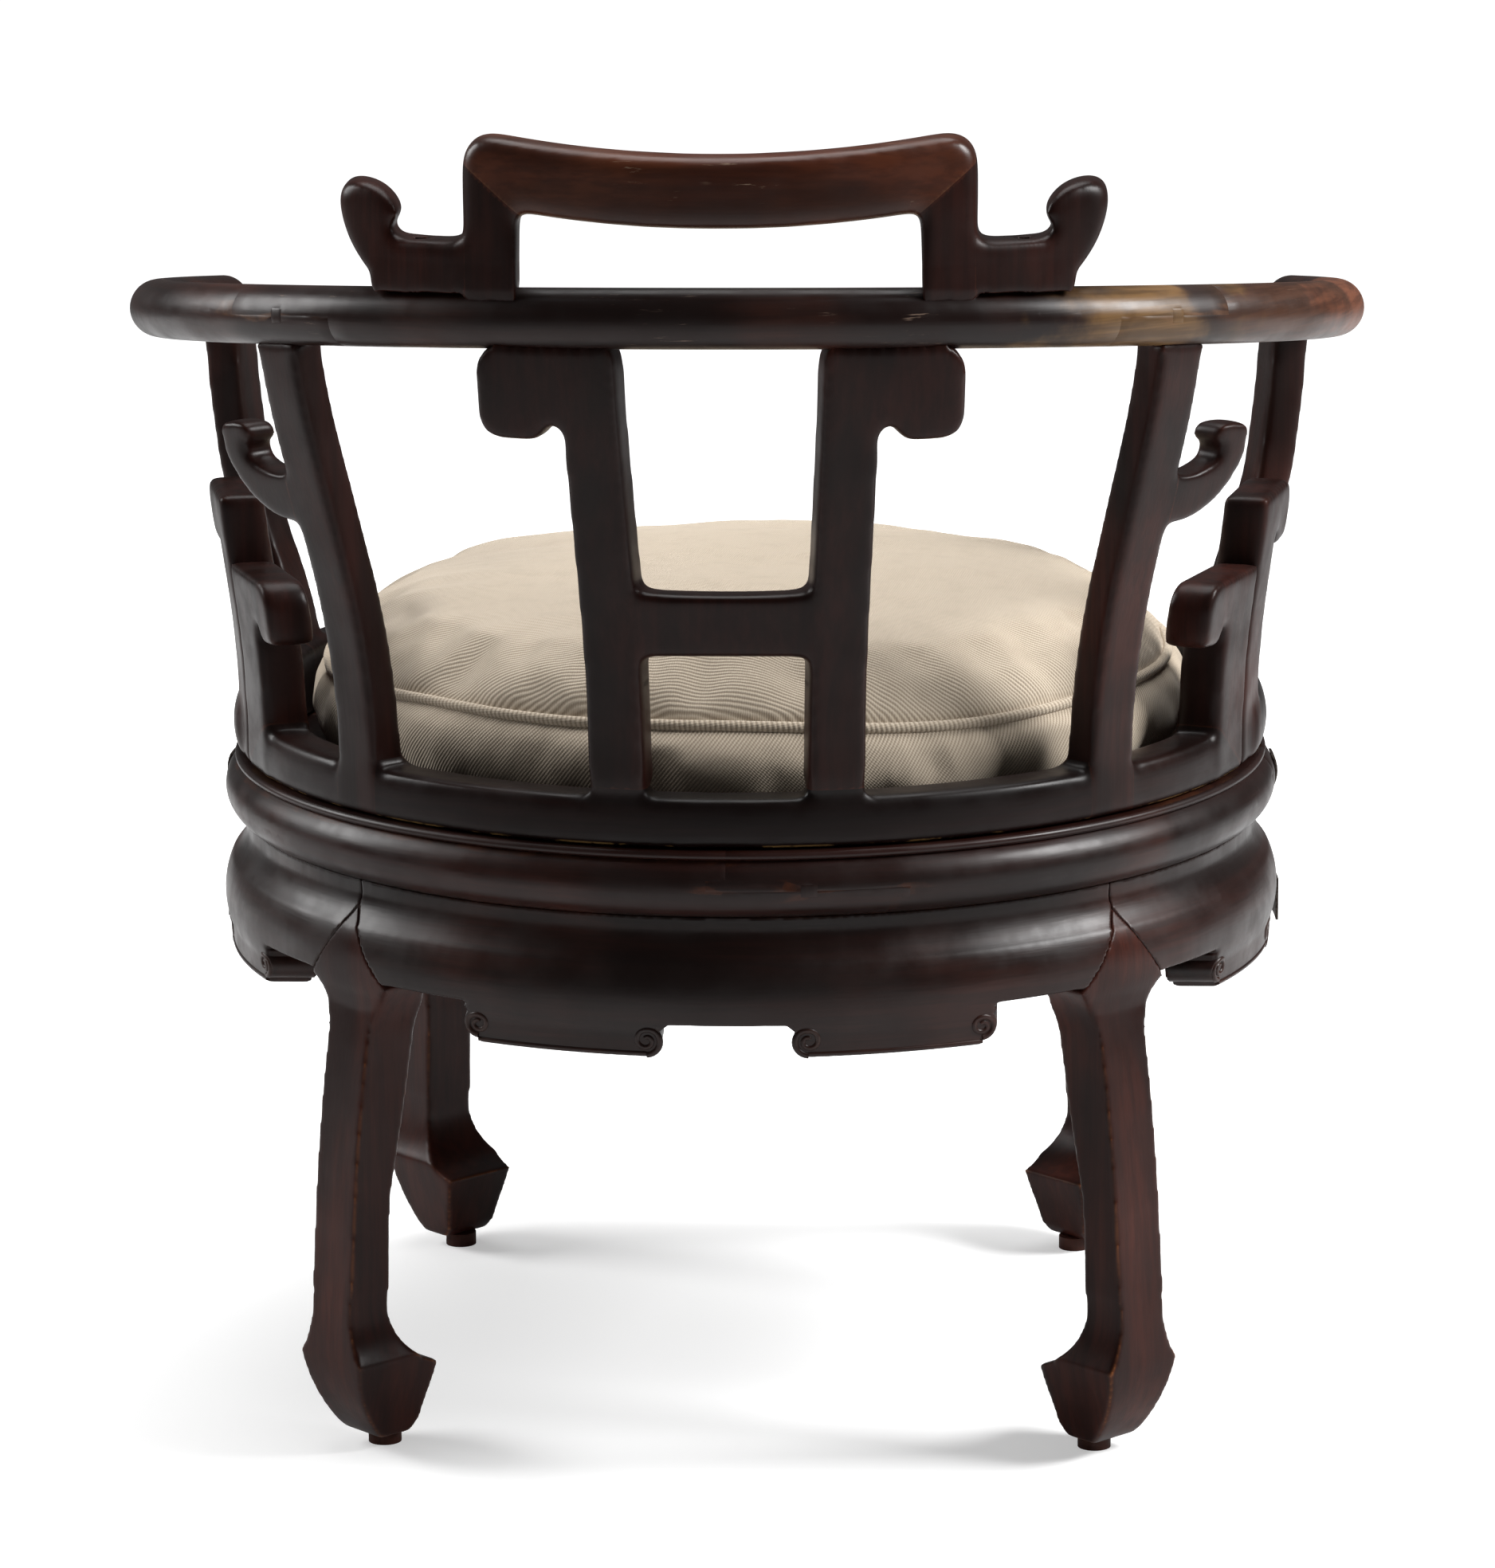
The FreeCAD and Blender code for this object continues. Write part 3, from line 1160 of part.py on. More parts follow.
# Iron straps over the side joints of the ring, and plates on the side aprons
def strap(name, turn, outline):
    body = new_body(name, turn)
    half_angle = S["strap_angle"] / 2
    add_turn(body, draw(body, "XZ_Plane", outline), half_angle, half_angle)
    return body


def bulge_offset(height, extra):
    away = height - bulge_height
    radius = ring_bulge + extra
    return bulge_centre + root(radius * radius - away * away)


fit = S["strap_fit"]
thick = fit + S["strap_thickness"]
strap_low = bulge_height - ring_bulge * 0.7
strap_high = bulge_height + ring_bulge * 0.45
strap_middle = (strap_low + strap_high) / 2
ring_strap = [(bulge_offset(strap_low, fit), strap_low), (bulge_offset(strap_low, thick), strap_low),
              (bulge_offset(strap_middle, thick), strap_middle, bulge_offset(strap_high, thick), strap_high),
              (bulge_offset(strap_high, fit), strap_high),
              (bulge_offset(strap_middle, fit), strap_middle, bulge_offset(strap_low, fit), strap_low)]
plate_radius = S["apron_reach"] + fit
plate_bottom = lobe_bottom + S["plate_rise"]
plate_top = plate_bottom + S["plate_height"]
apron_plate = [(plate_radius, plate_bottom), (plate_radius + S["strap_thickness"], plate_bottom),
               (plate_radius + S["strap_thickness"], plate_top), (plate_radius, plate_top)]
for name, outline in (("ring_straps", ring_strap), ("apron_plates", apron_plate)):
    one = strap(name + "_left", left(S["strap_turn"]), outline)
    other = mirror(name + "_right", one)
    pair = document.addObject("Part::Compound", name + "_pair")
    pair.Links = [one, other]
    keep(pair, name)

# Loose round cushion: crowned top, swelling band and drawn-in lower edge
cushion = new_body("cushion_body")
side_radius = S["cushion_radius"] - S["cushion_bulge"]
cushion_foot = panel_top + S["seat_gap"]
seam_height = panel_top + S["cushion_band"]
seam_radius = side_radius - S["cushion_bulge"] * 0.4
rise = S["cushion_crown"]
crown = seam_height + rise
cushion_section = [
    (zero, cushion_foot), (side_radius - S["cushion_round"], cushion_foot),
    (side_radius - S["cushion_round"] * 0.25, cushion_foot + S["cushion_round"] * 0.3,
     side_radius, cushion_foot + S["cushion_round"]),
    (S["cushion_radius"], (cushion_foot + seam_height) / 2, seam_radius, seam_height),
    (seam_radius - rise * 0.4, seam_height + rise * 0.42,
     seam_radius - rise * 1.5, seam_height + rise * 0.76),
    (seam_radius * 0.5, crown - rise * 0.06, seam_radius * 0.12, crown), (zero, crown),
]
add_full_turn(cushion, draw(cushion, "XZ_Plane", cushion_section))
keep(cushion, "cushion")


document.recompute()
for item in document.Objects:
    bad = [state for state in item.State if state in ("Invalid", "Error")]
    if bad:
        print("FAILED", item.Name, item.Label, item.State)
os.makedirs("parts", exist_ok=True)
for item in node_list:
    shape = item.Shape
    if shape.isNull() or not shape.isValid():
        print("BAD SHAPE", item.Label)
        continue
    if len(shape.Solids) > 1:
        print("   volumes", [round(one.Volume) for one in shape.Solids])
    print(f"{item.Label:26s} solids {len(shape.Solids)} volume {shape.Volume:12.1f} "
          f"x {shape.BoundBox.XMin:7.1f} {shape.BoundBox.XMax:7.1f} y {shape.BoundBox.YMin:7.1f} "
          f"{shape.BoundBox.YMax:7.1f} z {shape.BoundBox.ZMin:7.1f} {shape.BoundBox.ZMax:7.1f}")
    shape.exportStep(f"parts/{item.Label}.step")
print("nodes", len(node_list))
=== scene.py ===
import json
import math

import bmesh
import bpy
from mathutils import Matrix, Vector, noise
from mathutils.bvhtree import BVHTree


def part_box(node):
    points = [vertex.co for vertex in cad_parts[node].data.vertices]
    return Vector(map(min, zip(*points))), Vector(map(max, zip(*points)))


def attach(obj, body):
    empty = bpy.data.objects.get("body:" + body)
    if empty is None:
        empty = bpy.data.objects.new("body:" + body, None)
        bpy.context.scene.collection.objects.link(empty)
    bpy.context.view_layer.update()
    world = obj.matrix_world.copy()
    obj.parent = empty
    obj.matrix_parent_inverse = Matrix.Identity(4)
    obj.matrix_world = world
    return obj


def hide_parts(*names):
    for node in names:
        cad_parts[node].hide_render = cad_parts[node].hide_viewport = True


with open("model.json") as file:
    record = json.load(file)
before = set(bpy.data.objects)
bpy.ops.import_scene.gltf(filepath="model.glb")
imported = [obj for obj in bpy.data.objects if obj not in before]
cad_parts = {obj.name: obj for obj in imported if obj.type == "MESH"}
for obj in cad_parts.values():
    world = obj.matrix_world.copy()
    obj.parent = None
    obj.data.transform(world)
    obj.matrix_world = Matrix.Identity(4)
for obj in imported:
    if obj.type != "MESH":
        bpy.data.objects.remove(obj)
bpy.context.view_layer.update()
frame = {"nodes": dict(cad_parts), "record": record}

mm = 0.001
scene = bpy.context.scene
nodes = frame["nodes"]
bodyOf = {node: body for body, group in frame["record"]["behaviour"]["bodies"].items() for node in group}

# The upright axis that the seat's rings turn about, found from the seat panel
panelLow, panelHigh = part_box("seat_panel")
seatAxis = (panelLow + panelHigh) / 2
print("stage: frame loaded,", len(nodes), "nodes")


def toLinear(hexCode):
    channels = [int(hexCode[k:k + 2], 16) / 255 for k in (1, 3, 5)]
    return [c / 12.92 if c <= 0.04045 else ((c + 0.055) / 1.055) ** 2.4 for c in channels] + [1.0]


def addNode(tree, kind, settings=None, inputs=None, output=None):
    # One shader node with its settings, and its inputs as values or as sockets to link
    node = tree.nodes.new(kind)
    for name, value in (settings or {}).items():
        setattr(node, name, value)
    for name, value in (inputs or {}).items():
        if isinstance(value, bpy.types.NodeSocket):
            tree.links.new(value, node.inputs[name])
        else:
            node.inputs[name].default_value = value
    return node if output is None else node.outputs[output]


def newMaterial(name):
    material = bpy.data.materials.new(name)
    material.use_nodes = True
    tree = material.node_tree
    surface = tree.nodes["Principled BSDF"]
    return material, tree, surface


smoothStep = {"interpolation_type": "SMOOTHSTEP"}
inColour = {"data_type": "RGBA"}
product = {"operation": "MULTIPLY"}
ringRadius = 310 * mm       # turns an angle into a length along the curved pieces
waveBands = 3.1831          # bands a metre that a wave texture makes at a scale of 1


def turnFromBack(tree, place):
    # A point's place about the seat's axis, and its turn from the back
    centred = addNode(tree, "ShaderNodeMapping", inputs={
        "Vector": place, "Location": (0, -seatAxis.y, 0)}, output="Vector")
    parts = addNode(tree, "ShaderNodeSeparateXYZ", inputs={"Vector": centred}).outputs
    turn = addNode(tree, "ShaderNodeMath", {"operation": "ARCTAN2"}, {0: parts["X"], 1: parts["Y"]}, 0)
    return parts, turn


def grainVector(tree, grain, stretch):
    # Coordinates whose third axis runs along the grain, drawn out by the stretch
    place = addNode(tree, "ShaderNodeTexCoord", output="Object")
    straight = {"upright": (1, 1, 1 / stretch), "across": (1 / stretch, 1, 1)}
    if grain in straight:
        return addNode(tree, "ShaderNodeMapping", inputs={
            "Vector": place, "Scale": straight[grain]}, output="Vector")
    parts, turn = turnFromBack(tree, place)
    along = addNode(tree, "ShaderNodeMath", product, {0: turn, 1: ringRadius / stretch}, 0)
    flat = addNode(tree, "ShaderNodeCombineXYZ", inputs={
        "X": parts["X"], "Y": parts["Y"], "Z": 0.0}, output="Vector")
    away = addNode(tree, "ShaderNodeVectorMath", {"operation": "LENGTH"}, {0: flat}, "Value")
    return addNode(tree, "ShaderNodeCombineXYZ", inputs={
        "X": away, "Y": parts["Z"], "Z": along}, output="Vector")


woodLooks = {
    "grainStretch": 14.0,       # how much longer than wide the figure is
    "streakWidth": 16 * mm,     # bands of lighter and darker wood
    "fineWidth": 2.6 * mm,      # single grain lines
    "poreWidth": 0.9 * mm,      # open pores, drawn a little coarse so that they show
    "cloudWidth": 111.1 * mm,   # warmer places where the stain is thin
    "breakWidth": 29.41 * mm,   # breaks in the rubbed arrises
    "smearWidth": 38.46 * mm,   # uneven wax
    "planeWave": 60 * mm,       # unevenness left by hand planing
    "bumpDepth": 0.12 * mm,
    "waveDepth": 0.9 * mm,
    "wornFade": 15 * mm,        # height over which the worn arrises begin
}


def hardwood(name, grain, dark, middle, warm, worn, wear=0.6, roughness=0.34, edges=(0.535, 0.60),
             polish=0.27, wornBelow=None, patches=()):
    # Dense tropical hardwood, stained nearly black and waxed: satin gloss over fine long grain,
    # with the stain rubbed through to orange-brown along the arrises
    looks = woodLooks
    material, tree, surface = newMaterial(name)
    vector = grainVector(tree, grain, looks["grainStretch"])
    place = addNode(tree, "ShaderNodeTexCoord", output="Object")
    noises = {}
    for use, source, scale, detail, rough, distortion in (
            ("streaks", vector, 1 / looks["streakWidth"] / 2, 4.0, 0.55, 0.4),
            ("fine", vector, 1 / looks["fineWidth"] / 2, 3.0, 0.6, 0.0),
            ("pores", vector, 1 / looks["poreWidth"] / 2, 2.0, 0.5, 0.0),
            ("clouds", place, 1 / looks["cloudWidth"], 3.0, 0.5, 0.0),
            ("breaks", place, 1 / looks["breakWidth"], 5.0, 0.65, 0.0),
            ("smears", place, 1 / looks["smearWidth"], 6.0, 0.62, 0.0),
            ("wave", place, 1 / looks["planeWave"], 2.0, 0.5, 0.0)):
        noises[use] = addNode(tree, "ShaderNodeTexNoise", inputs={
            "Vector": source, "Scale": scale, "Detail": detail, "Roughness": rough,
            "Distortion": distortion}, output="Fac")
    arris = addNode(tree, "ShaderNodeNewGeometry", output="Pointiness")
    steps = {}
    for use, source, low, high, lowValue, highValue in (
            ("streaks", noises["streaks"], 0.34, 0.66, 0.0, 1.0),
            ("clouds", noises["clouds"], 0.48, 0.74, 0.0, 0.75),
            ("fine", noises["fine"], 0.38, 0.62, 0.45, 0.0),
            ("rubbed", arris, *edges, 0.0, 1.0),
            ("breaks", noises["breaks"], 0.42, 0.62, 0.15, 1.0),
            ("gloss", noises["smears"], 0.3, 0.7, roughness - 0.05, roughness + 0.11)):
        steps[use] = addNode(tree, "ShaderNodeMapRange", smoothStep, {
            "Value": source, "From Min": low, "From Max": high,
            "To Min": lowValue, "To Max": highValue}, "Result")
    layers = [(steps["streaks"], middle), (steps["clouds"], warm)]
    layers += [(patch(tree, place, *values), tone) for tone, patch, *values in patches]
    layers.append((steps["fine"], dark))
    amount = addNode(tree, "ShaderNodeMath", product, {0: steps["rubbed"], 1: steps["breaks"]}, 0)
    amount = addNode(tree, "ShaderNodeMath", product, {0: amount, 1: wear}, 0)
    if wornBelow is not None:
        parts = addNode(tree, "ShaderNodeSeparateXYZ", inputs={"Vector": place})
        below = addNode(tree, "ShaderNodeMapRange", smoothStep, {
            "Value": parts.outputs["Z"], "From Min": wornBelow,
            "From Max": wornBelow - looks["wornFade"]}, "Result")
        amount = addNode(tree, "ShaderNodeMath", product, {0: amount, 1: below}, 0)
    layers.append((amount, worn))
    colour = toLinear(dark)
    for amount, tone in layers:
        colour = addNode(tree, "ShaderNodeMix", inColour, {0: amount, 6: colour, 7: toLinear(tone)}, 2)
    tree.links.new(colour, surface.inputs["Base Color"])
    tree.links.new(steps["gloss"], surface.inputs["Roughness"])
    surface.inputs["IOR"].default_value = 1.5
    surface.inputs["Specular IOR Level"].default_value = polish     # old wax, duller than varnish
    swell = addNode(tree, "ShaderNodeBump", inputs={
        "Height": noises["wave"], "Strength": 0.6, "Distance": looks["waveDepth"]}, output="Normal")
    relief = addNode(tree, "ShaderNodeBump", inputs={
        "Height": noises["pores"], "Strength": 0.35, "Distance": looks["bumpDepth"],
        "Normal": swell}, output="Normal")
    tree.links.new(relief, surface.inputs["Normal"])
    return material


ironLooks = {"pitWidth": 2.381 * mm, "pitDepth": 0.3 * mm, "hollow": "#2a201b", "high": "#4d453f"}


def oldIron():
    # Hand-forged iron, rusted and blackened with wax: matt, pitted and brown in the hollows
    looks = ironLooks
    material, tree, surface = newMaterial("forgedIron")
    place = addNode(tree, "ShaderNodeTexCoord", output="Object")
    pits = addNode(tree, "ShaderNodeTexNoise", inputs={
        "Vector": place, "Scale": 1 / looks["pitWidth"], "Detail": 5.0, "Roughness": 0.7}, output="Fac")
    raised = addNode(tree, "ShaderNodeMapRange", smoothStep, {
        "Value": pits, "From Min": 0.4, "From Max": 0.62}, "Result")
    colour = addNode(tree, "ShaderNodeMix", inColour, {
        0: raised, 6: toLinear(looks["hollow"]), 7: toLinear(looks["high"])}, 2)
    tree.links.new(colour, surface.inputs["Base Color"])
    surface.inputs["Metallic"].default_value = 0.7
    surface.inputs["Roughness"].default_value = 0.62
    relief = addNode(tree, "ShaderNodeBump", inputs={
        "Height": pits, "Strength": 0.8, "Distance": looks["pitDepth"]}, output="Normal")
    tree.links.new(relief, surface.inputs["Normal"])
    return material


clothLooks = {
    "ribSpacing": 1.9 * mm,     # the real ribs are about 1.7 mm apart, drawn coarser so that they show
    "pipingSpacing": 3.0 * mm,
    "ribDepth": 0.32 * mm,
    "threadSpacing": 1.3 * mm,
    "soilWidth": 16.67 * mm,
    "bandTurn": math.radians(40), "topTurn": math.radians(-122),   # the ribs run across the top
    "pipingTurn": math.radians(8),
    # the first two are painted shade and painted highlight on the weave's relief, the third is real soiling
    "light": "#c2b4a1", "shade": "#9a8c7a", "soil": "#a39583",
}


def ribbedTwill(name, ribTurn, spacing):
    # Cotton and linen twill: raised diagonal ribs, matt, undyed, a little soiled in places
    looks = clothLooks
    material, tree, surface = newMaterial(name)
    layout = addNode(tree, "ShaderNodeUVMap", {"uv_map": "weave"}, output="UV")
    turned = addNode(tree, "ShaderNodeMapping", inputs={
        "Vector": layout, "Rotation": (0, 0, ribTurn)}, output="Vector")
    wander = addNode(tree, "ShaderNodeTexNoise", inputs={
        "Vector": layout, "Scale": 1 / looks["soilWidth"], "Detail": 3.0}, output="Fac")
    ribs = addNode(tree, "ShaderNodeTexWave", {"wave_type": "BANDS", "bands_direction": "X"}, {
        "Vector": turned, "Scale": 1 / spacing / waveBands, "Distortion": 0.7, "Detail": 2.0,
        "Detail Scale": 1.6}, "Fac")
    threads = addNode(tree, "ShaderNodeTexWave", {"wave_type": "BANDS", "bands_direction": "Y"}, {
        "Vector": turned, "Scale": 1 / looks["threadSpacing"] / waveBands, "Distortion": 2.5,
        "Detail": 2.0}, "Fac")
    height = addNode(tree, "ShaderNodeMath", {"operation": "MULTIPLY_ADD"}, {0: threads, 1: 0.35, 2: ribs}, 0)
    # Painted shade and highlight: the weave is coloured darker in the hollows between ribs and threads and
    # paler on their crests
    raised = addNode(tree, "ShaderNodeMapRange", smoothStep, {
        "Value": height, "From Min": 0.15, "From Max": 0.95}, "Result")
    colour = addNode(tree, "ShaderNodeMix", inColour, {
        0: raised, 6: toLinear(looks["shade"]), 7: toLinear(looks["light"])}, 2)
    soiled = addNode(tree, "ShaderNodeMapRange", smoothStep, {
        "Value": wander, "From Min": 0.45, "From Max": 0.75, "To Max": 0.35}, "Result")
    colour = addNode(tree, "ShaderNodeMix", inColour, {0: soiled, 6: colour, 7: toLinear(looks["soil"])}, 2)
    tree.links.new(colour, surface.inputs["Base Color"])
    for socket, value in (("Roughness", 0.92), ("Specular IOR Level", 0.25), ("Sheen Weight", 0.15),
                          ("Sheen Roughness", 0.5)):
        surface.inputs[socket].default_value = value
    relief = addNode(tree, "ShaderNodeBump", inputs={
        "Height": height, "Strength": 0.8, "Distance": looks["ribDepth"]}, output="Normal")
    tree.links.new(relief, surface.inputs["Normal"])
    return material


patchLooks = {
    "raggedWidth": 33.33 * mm,                              # unevenness of a patch's edge
    "scratchWidth": 3.333 * mm, "scratchStretch": 11.0, "scratchPlaces": 45.45 * mm,
    "glueTop": 2.8 * mm, "glueFull": 2.0 * mm, "gluePlaces": 41.67 * mm,
}


def angularPatch(tree, place, middle, halfWidth, strength, roughEdge):
    # A patch at a turn from the back, with a ragged edge
    turn = turnFromBack(tree, place)[1]
    ragged = addNode(tree, "ShaderNodeTexNoise", inputs={
        "Vector": place, "Scale": 1 / patchLooks["raggedWidth"], "Detail": 5.0}, output="Fac")
    shifted = addNode(tree, "ShaderNodeMath", {"operation": "MULTIPLY_ADD"},
                      {0: ragged, 1: roughEdge * 4, 2: turn}, 0)
    away = addNode(tree, "ShaderNodeMath", {"operation": "SUBTRACT"},
                   {0: shifted, 1: middle + roughEdge * 2}, 0)
    size = addNode(tree, "ShaderNodeMath", {"operation": "ABSOLUTE"}, {0: away}, 0)
    return addNode(tree, "ShaderNodeMapRange", smoothStep, {
        "Value": size, "From Min": halfWidth + roughEdge, "From Max": halfWidth - roughEdge * 0.2,
        "To Max": strength}, "Result")


def scuffs(tree, place, grain, strength):
    # Pale dry scratches along the grain, in a few places
    looks = patchLooks
    vector = grainVector(tree, grain, looks["scratchStretch"])
    steps = []
    for source, width, detail, rough, low, high, most in (
            (vector, looks["scratchWidth"], 5.0, 0.7, 0.60, 0.66, 1.0),
            (place, looks["scratchPlaces"], 2.0, 0.5, 0.56, 0.64, strength)):
        lines = addNode(tree, "ShaderNodeTexNoise", inputs={
            "Vector": source, "Scale": 1 / width, "Detail": detail, "Roughness": rough}, output="Fac")
        steps.append(addNode(tree, "ShaderNodeMapRange", smoothStep, {
            "Value": lines, "From Min": low, "From Max": high, "To Max": most}, "Result"))
    return addNode(tree, "ShaderNodeMath", product, {0: steps[0], 1: steps[1]}, 0)


def glueLine(tree, place):
    # A broken line of old glue squeezed out under the base rails
    looks = patchLooks
    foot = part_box("base_rail_left")[0].z
    parts = addNode(tree, "ShaderNodeSeparateXYZ", inputs={"Vector": place})
    low = addNode(tree, "ShaderNodeMapRange", smoothStep, {
        "Value": parts.outputs["Z"], "From Min": foot + looks["glueTop"],
        "From Max": foot + looks["glueFull"]}, "Result")
    gaps = addNode(tree, "ShaderNodeTexNoise", inputs={
        "Vector": place, "Scale": 1 / looks["gluePlaces"], "Detail": 4.0, "Roughness": 0.7}, output="Fac")
    broken = addNode(tree, "ShaderNodeMapRange", smoothStep, {
        "Value": gaps, "From Min": 0.5, "From Max": 0.56}, "Result")
    return addNode(tree, "ShaderNodeMath", product, {0: low, 1: broken}, 0)


softEdges = (0.512, 0.56)       # where rubbed arrises begin on the carved pieces
woods = {
    "ring": hardwood("waxedHardwoodRing", "round", "#130806", "#27110d", "#3b1c14", "#6b3c24", wear=0.25),
    "base": hardwood("waxedHardwoodBase", "round", "#0e0706", "#190c0a", "#24120e", "#5c3524", wear=0.25,
                     edges=softEdges, polish=0.17, patches=(("#9a7a4c", glueLine),)),
    "apron": hardwood("waxedHardwoodApron", "round", "#140a08", "#24110d", "#351b15", "#5b3522", wear=0.12,
                      edges=softEdges),
    "post": hardwood("waxedHardwoodPost", "upright", "#140907", "#27110d", "#3a1a13", "#5e3020", wear=0.3,
                     edges=softEdges, polish=0.16),
    "leg": hardwood("waxedHardwoodLeg", "upright", "#1e0d0a", "#391a13", "#4d251b", "#955a34", wear=0.8,
                    edges=softEdges, polish=0.18, wornBelow=250 * mm),
    "rail": hardwood(
        "waxedHardwoodRail", "round", "#160a08", "#29140f", "#3f2118", "#6b4a33", wear=0.5,
        patches=(("#8d7768", scuffs, "round", 0.5),
                 ("#4b3022", angularPatch, -1.15, 0.45, 0.7, 0.2),      # the bleached right side
                 ("#755835", angularPatch, -0.70, 0.05, 0.75, 0.2),     # bare wood at the mended joint
                 ("#6b402d", angularPatch, -1.45, 0.12, 0.85, 0.2),     # where the hand rests
                 ("#1c1210", angularPatch, -0.83, 0.015, 0.8, 0.05))),  # an old dark stain
    "crest": hardwood("waxedHardwoodCrest", "across", "#2a1209", "#4b2415", "#5e321c", "#8a6142", wear=0.2,
                      edges=softEdges, patches=(("#a08873", scuffs, "across", 0.7),)),
    "pads": hardwood("bareHardwoodPads", "upright", "#2f1610", "#452218", "#54291c", "#7a4a32",
                     wear=0.3, roughness=0.6),
}
iron = oldIron()
print("stage: materials made")


def finished(name, mesh, material, nodeName, replaces=True):
    # Put a finished mesh in the scene as the piece that stands for a node, or that goes with it
    piece = bpy.data.objects.new(name, mesh)
    scene.collection.objects.link(piece)
    mesh.materials.clear()
    mesh.materials.append(material)
    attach(piece, bodyOf[nodeName])
    if replaces:
        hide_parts(nodeName)
    return piece


weldWithin, cutWithin = 0.002 * mm, 0.0001 * mm
sawMargin = 9 * mm              # how far a softened piece may leave its node's box


def mergedCopy(*nodeNames, extra=None):
    # The surfaces of some nodes as one mesh, with the loose triangles joined up
    shape = bmesh.new()
    for nodeName in nodeNames:
        shape.from_mesh(nodes[nodeName].data)
    bmesh.ops.remove_doubles(shape, verts=shape.verts, dist=weldWithin)
    if extra:
        shape.from_mesh(extra)
    mesh = bpy.data.meshes.new("blank")
    shape.to_mesh(mesh)
    shape.free()
    return mesh


def withModifiers(data, settings=(), weights=None):
    # Run a list of modifiers on a mesh, or fill out a curve, and give back the resulting mesh
    blank = bpy.data.objects.new("blank", data)
    scene.collection.objects.link(blank)
    if weights:
        members = {}
        for index, weight in enumerate(weights):
            members.setdefault(weight, []).append(index)
        soft = blank.vertex_groups.new(name="soft")
        for weight, indices in members.items():
            soft.add(indices, weight, "REPLACE")
    for kind, values in settings:
        modifier = blank.modifiers.new(kind.lower(), kind)
        for key, value in values.items():
            setattr(modifier, key, value)
    bpy.context.view_layer.update()
    graph = bpy.context.evaluated_depsgraph_get()
    result = bpy.data.meshes.new_from_object(blank.evaluated_get(graph))
    bpy.data.objects.remove(blank)
    result.shade_smooth()
    return result


def surfaceOf(*nodeNames):
    # A tree for finding the nearest point on some nodes
    shape = bmesh.new()
    for nodeName in nodeNames:
        shape.from_mesh(nodes[nodeName].data)
    tree = BVHTree.FromBMesh(shape)
    shape.free()
    return tree


def softened(nodeNames, voxel, passes, extra=None):
    # Round the arrises and fill the inner corners of joined pieces, as carving and long use have
    return withModifiers(mergedCopy(*nodeNames, extra=extra), [
        ("REMESH", {"mode": "VOXEL", "voxel_size": voxel, "use_smooth_shade": True}),
        ("SMOOTH", {"factor": 0.5, "iterations": passes}),
    ])


def eased(mesh, passes, weights):
    return withModifiers(mesh, [("SMOOTH", {
        "factor": 0.5, "iterations": passes, "vertex_group": "soft"})], weights)


def weightsNear(mesh, tree, reach, start):
    # Weights that leave a piece crisp where it meets its neighbours
    weights = []
    for vertex in mesh.vertices:
        distance = tree.find_nearest(vertex.co, reach)[3]
        near = 1.0 if distance is None else max(0.0, distance / reach - start) / (1 - start)
        weights.append(round(near, 1))
    return weights


def seatInto(mesh, tree, reach, depth, within=math.inf):
    # Sink what touches another piece a little way into it, so that the joint is a clean line
    for vertex in mesh.vertices:
        point, normal, face, distance = tree.find_nearest(vertex.co, reach)
        if point is not None and abs(vertex.co.x) <= within:
            vertex.co -= normal * depth * (1 - distance / reach)


def inBox(box, point, margin):
    low, high = box
    return all(low[axis] - margin < point[axis] < high[axis] + margin for axis in range(3))


def cutOff(shape, faces, place, normal):
    # Cut away what lies in front of a plane, among some faces, and close the cut
    edges = dict.fromkeys(edge for face in faces for edge in face.edges)
    points = dict.fromkeys(vertex for face in faces for vertex in face.verts)
    made = bmesh.ops.bisect_plane(shape, geom=faces + list(edges) + list(points), plane_co=place,
                                  plane_no=normal, clear_outer=True, dist=cutWithin)
    rim = [item for item in made["geom_cut"] if isinstance(item, bmesh.types.BMEdge)
           and item.is_valid and item.is_boundary]
    bmesh.ops.edgeloop_fill(shape, edges=rim)


def islandsOf(shape):
    # The separate pieces of a mesh, each as a list of its points
    waiting = set(shape.verts)
    for first in shape.verts:
        if first not in waiting:
            continue
        waiting.remove(first)
        island = [first]
        for vertex in island:
            for edge in vertex.link_edges:
                other = edge.other_vert(vertex)
                if other in waiting:
                    waiting.remove(other)
                    island.append(other)
        yield island


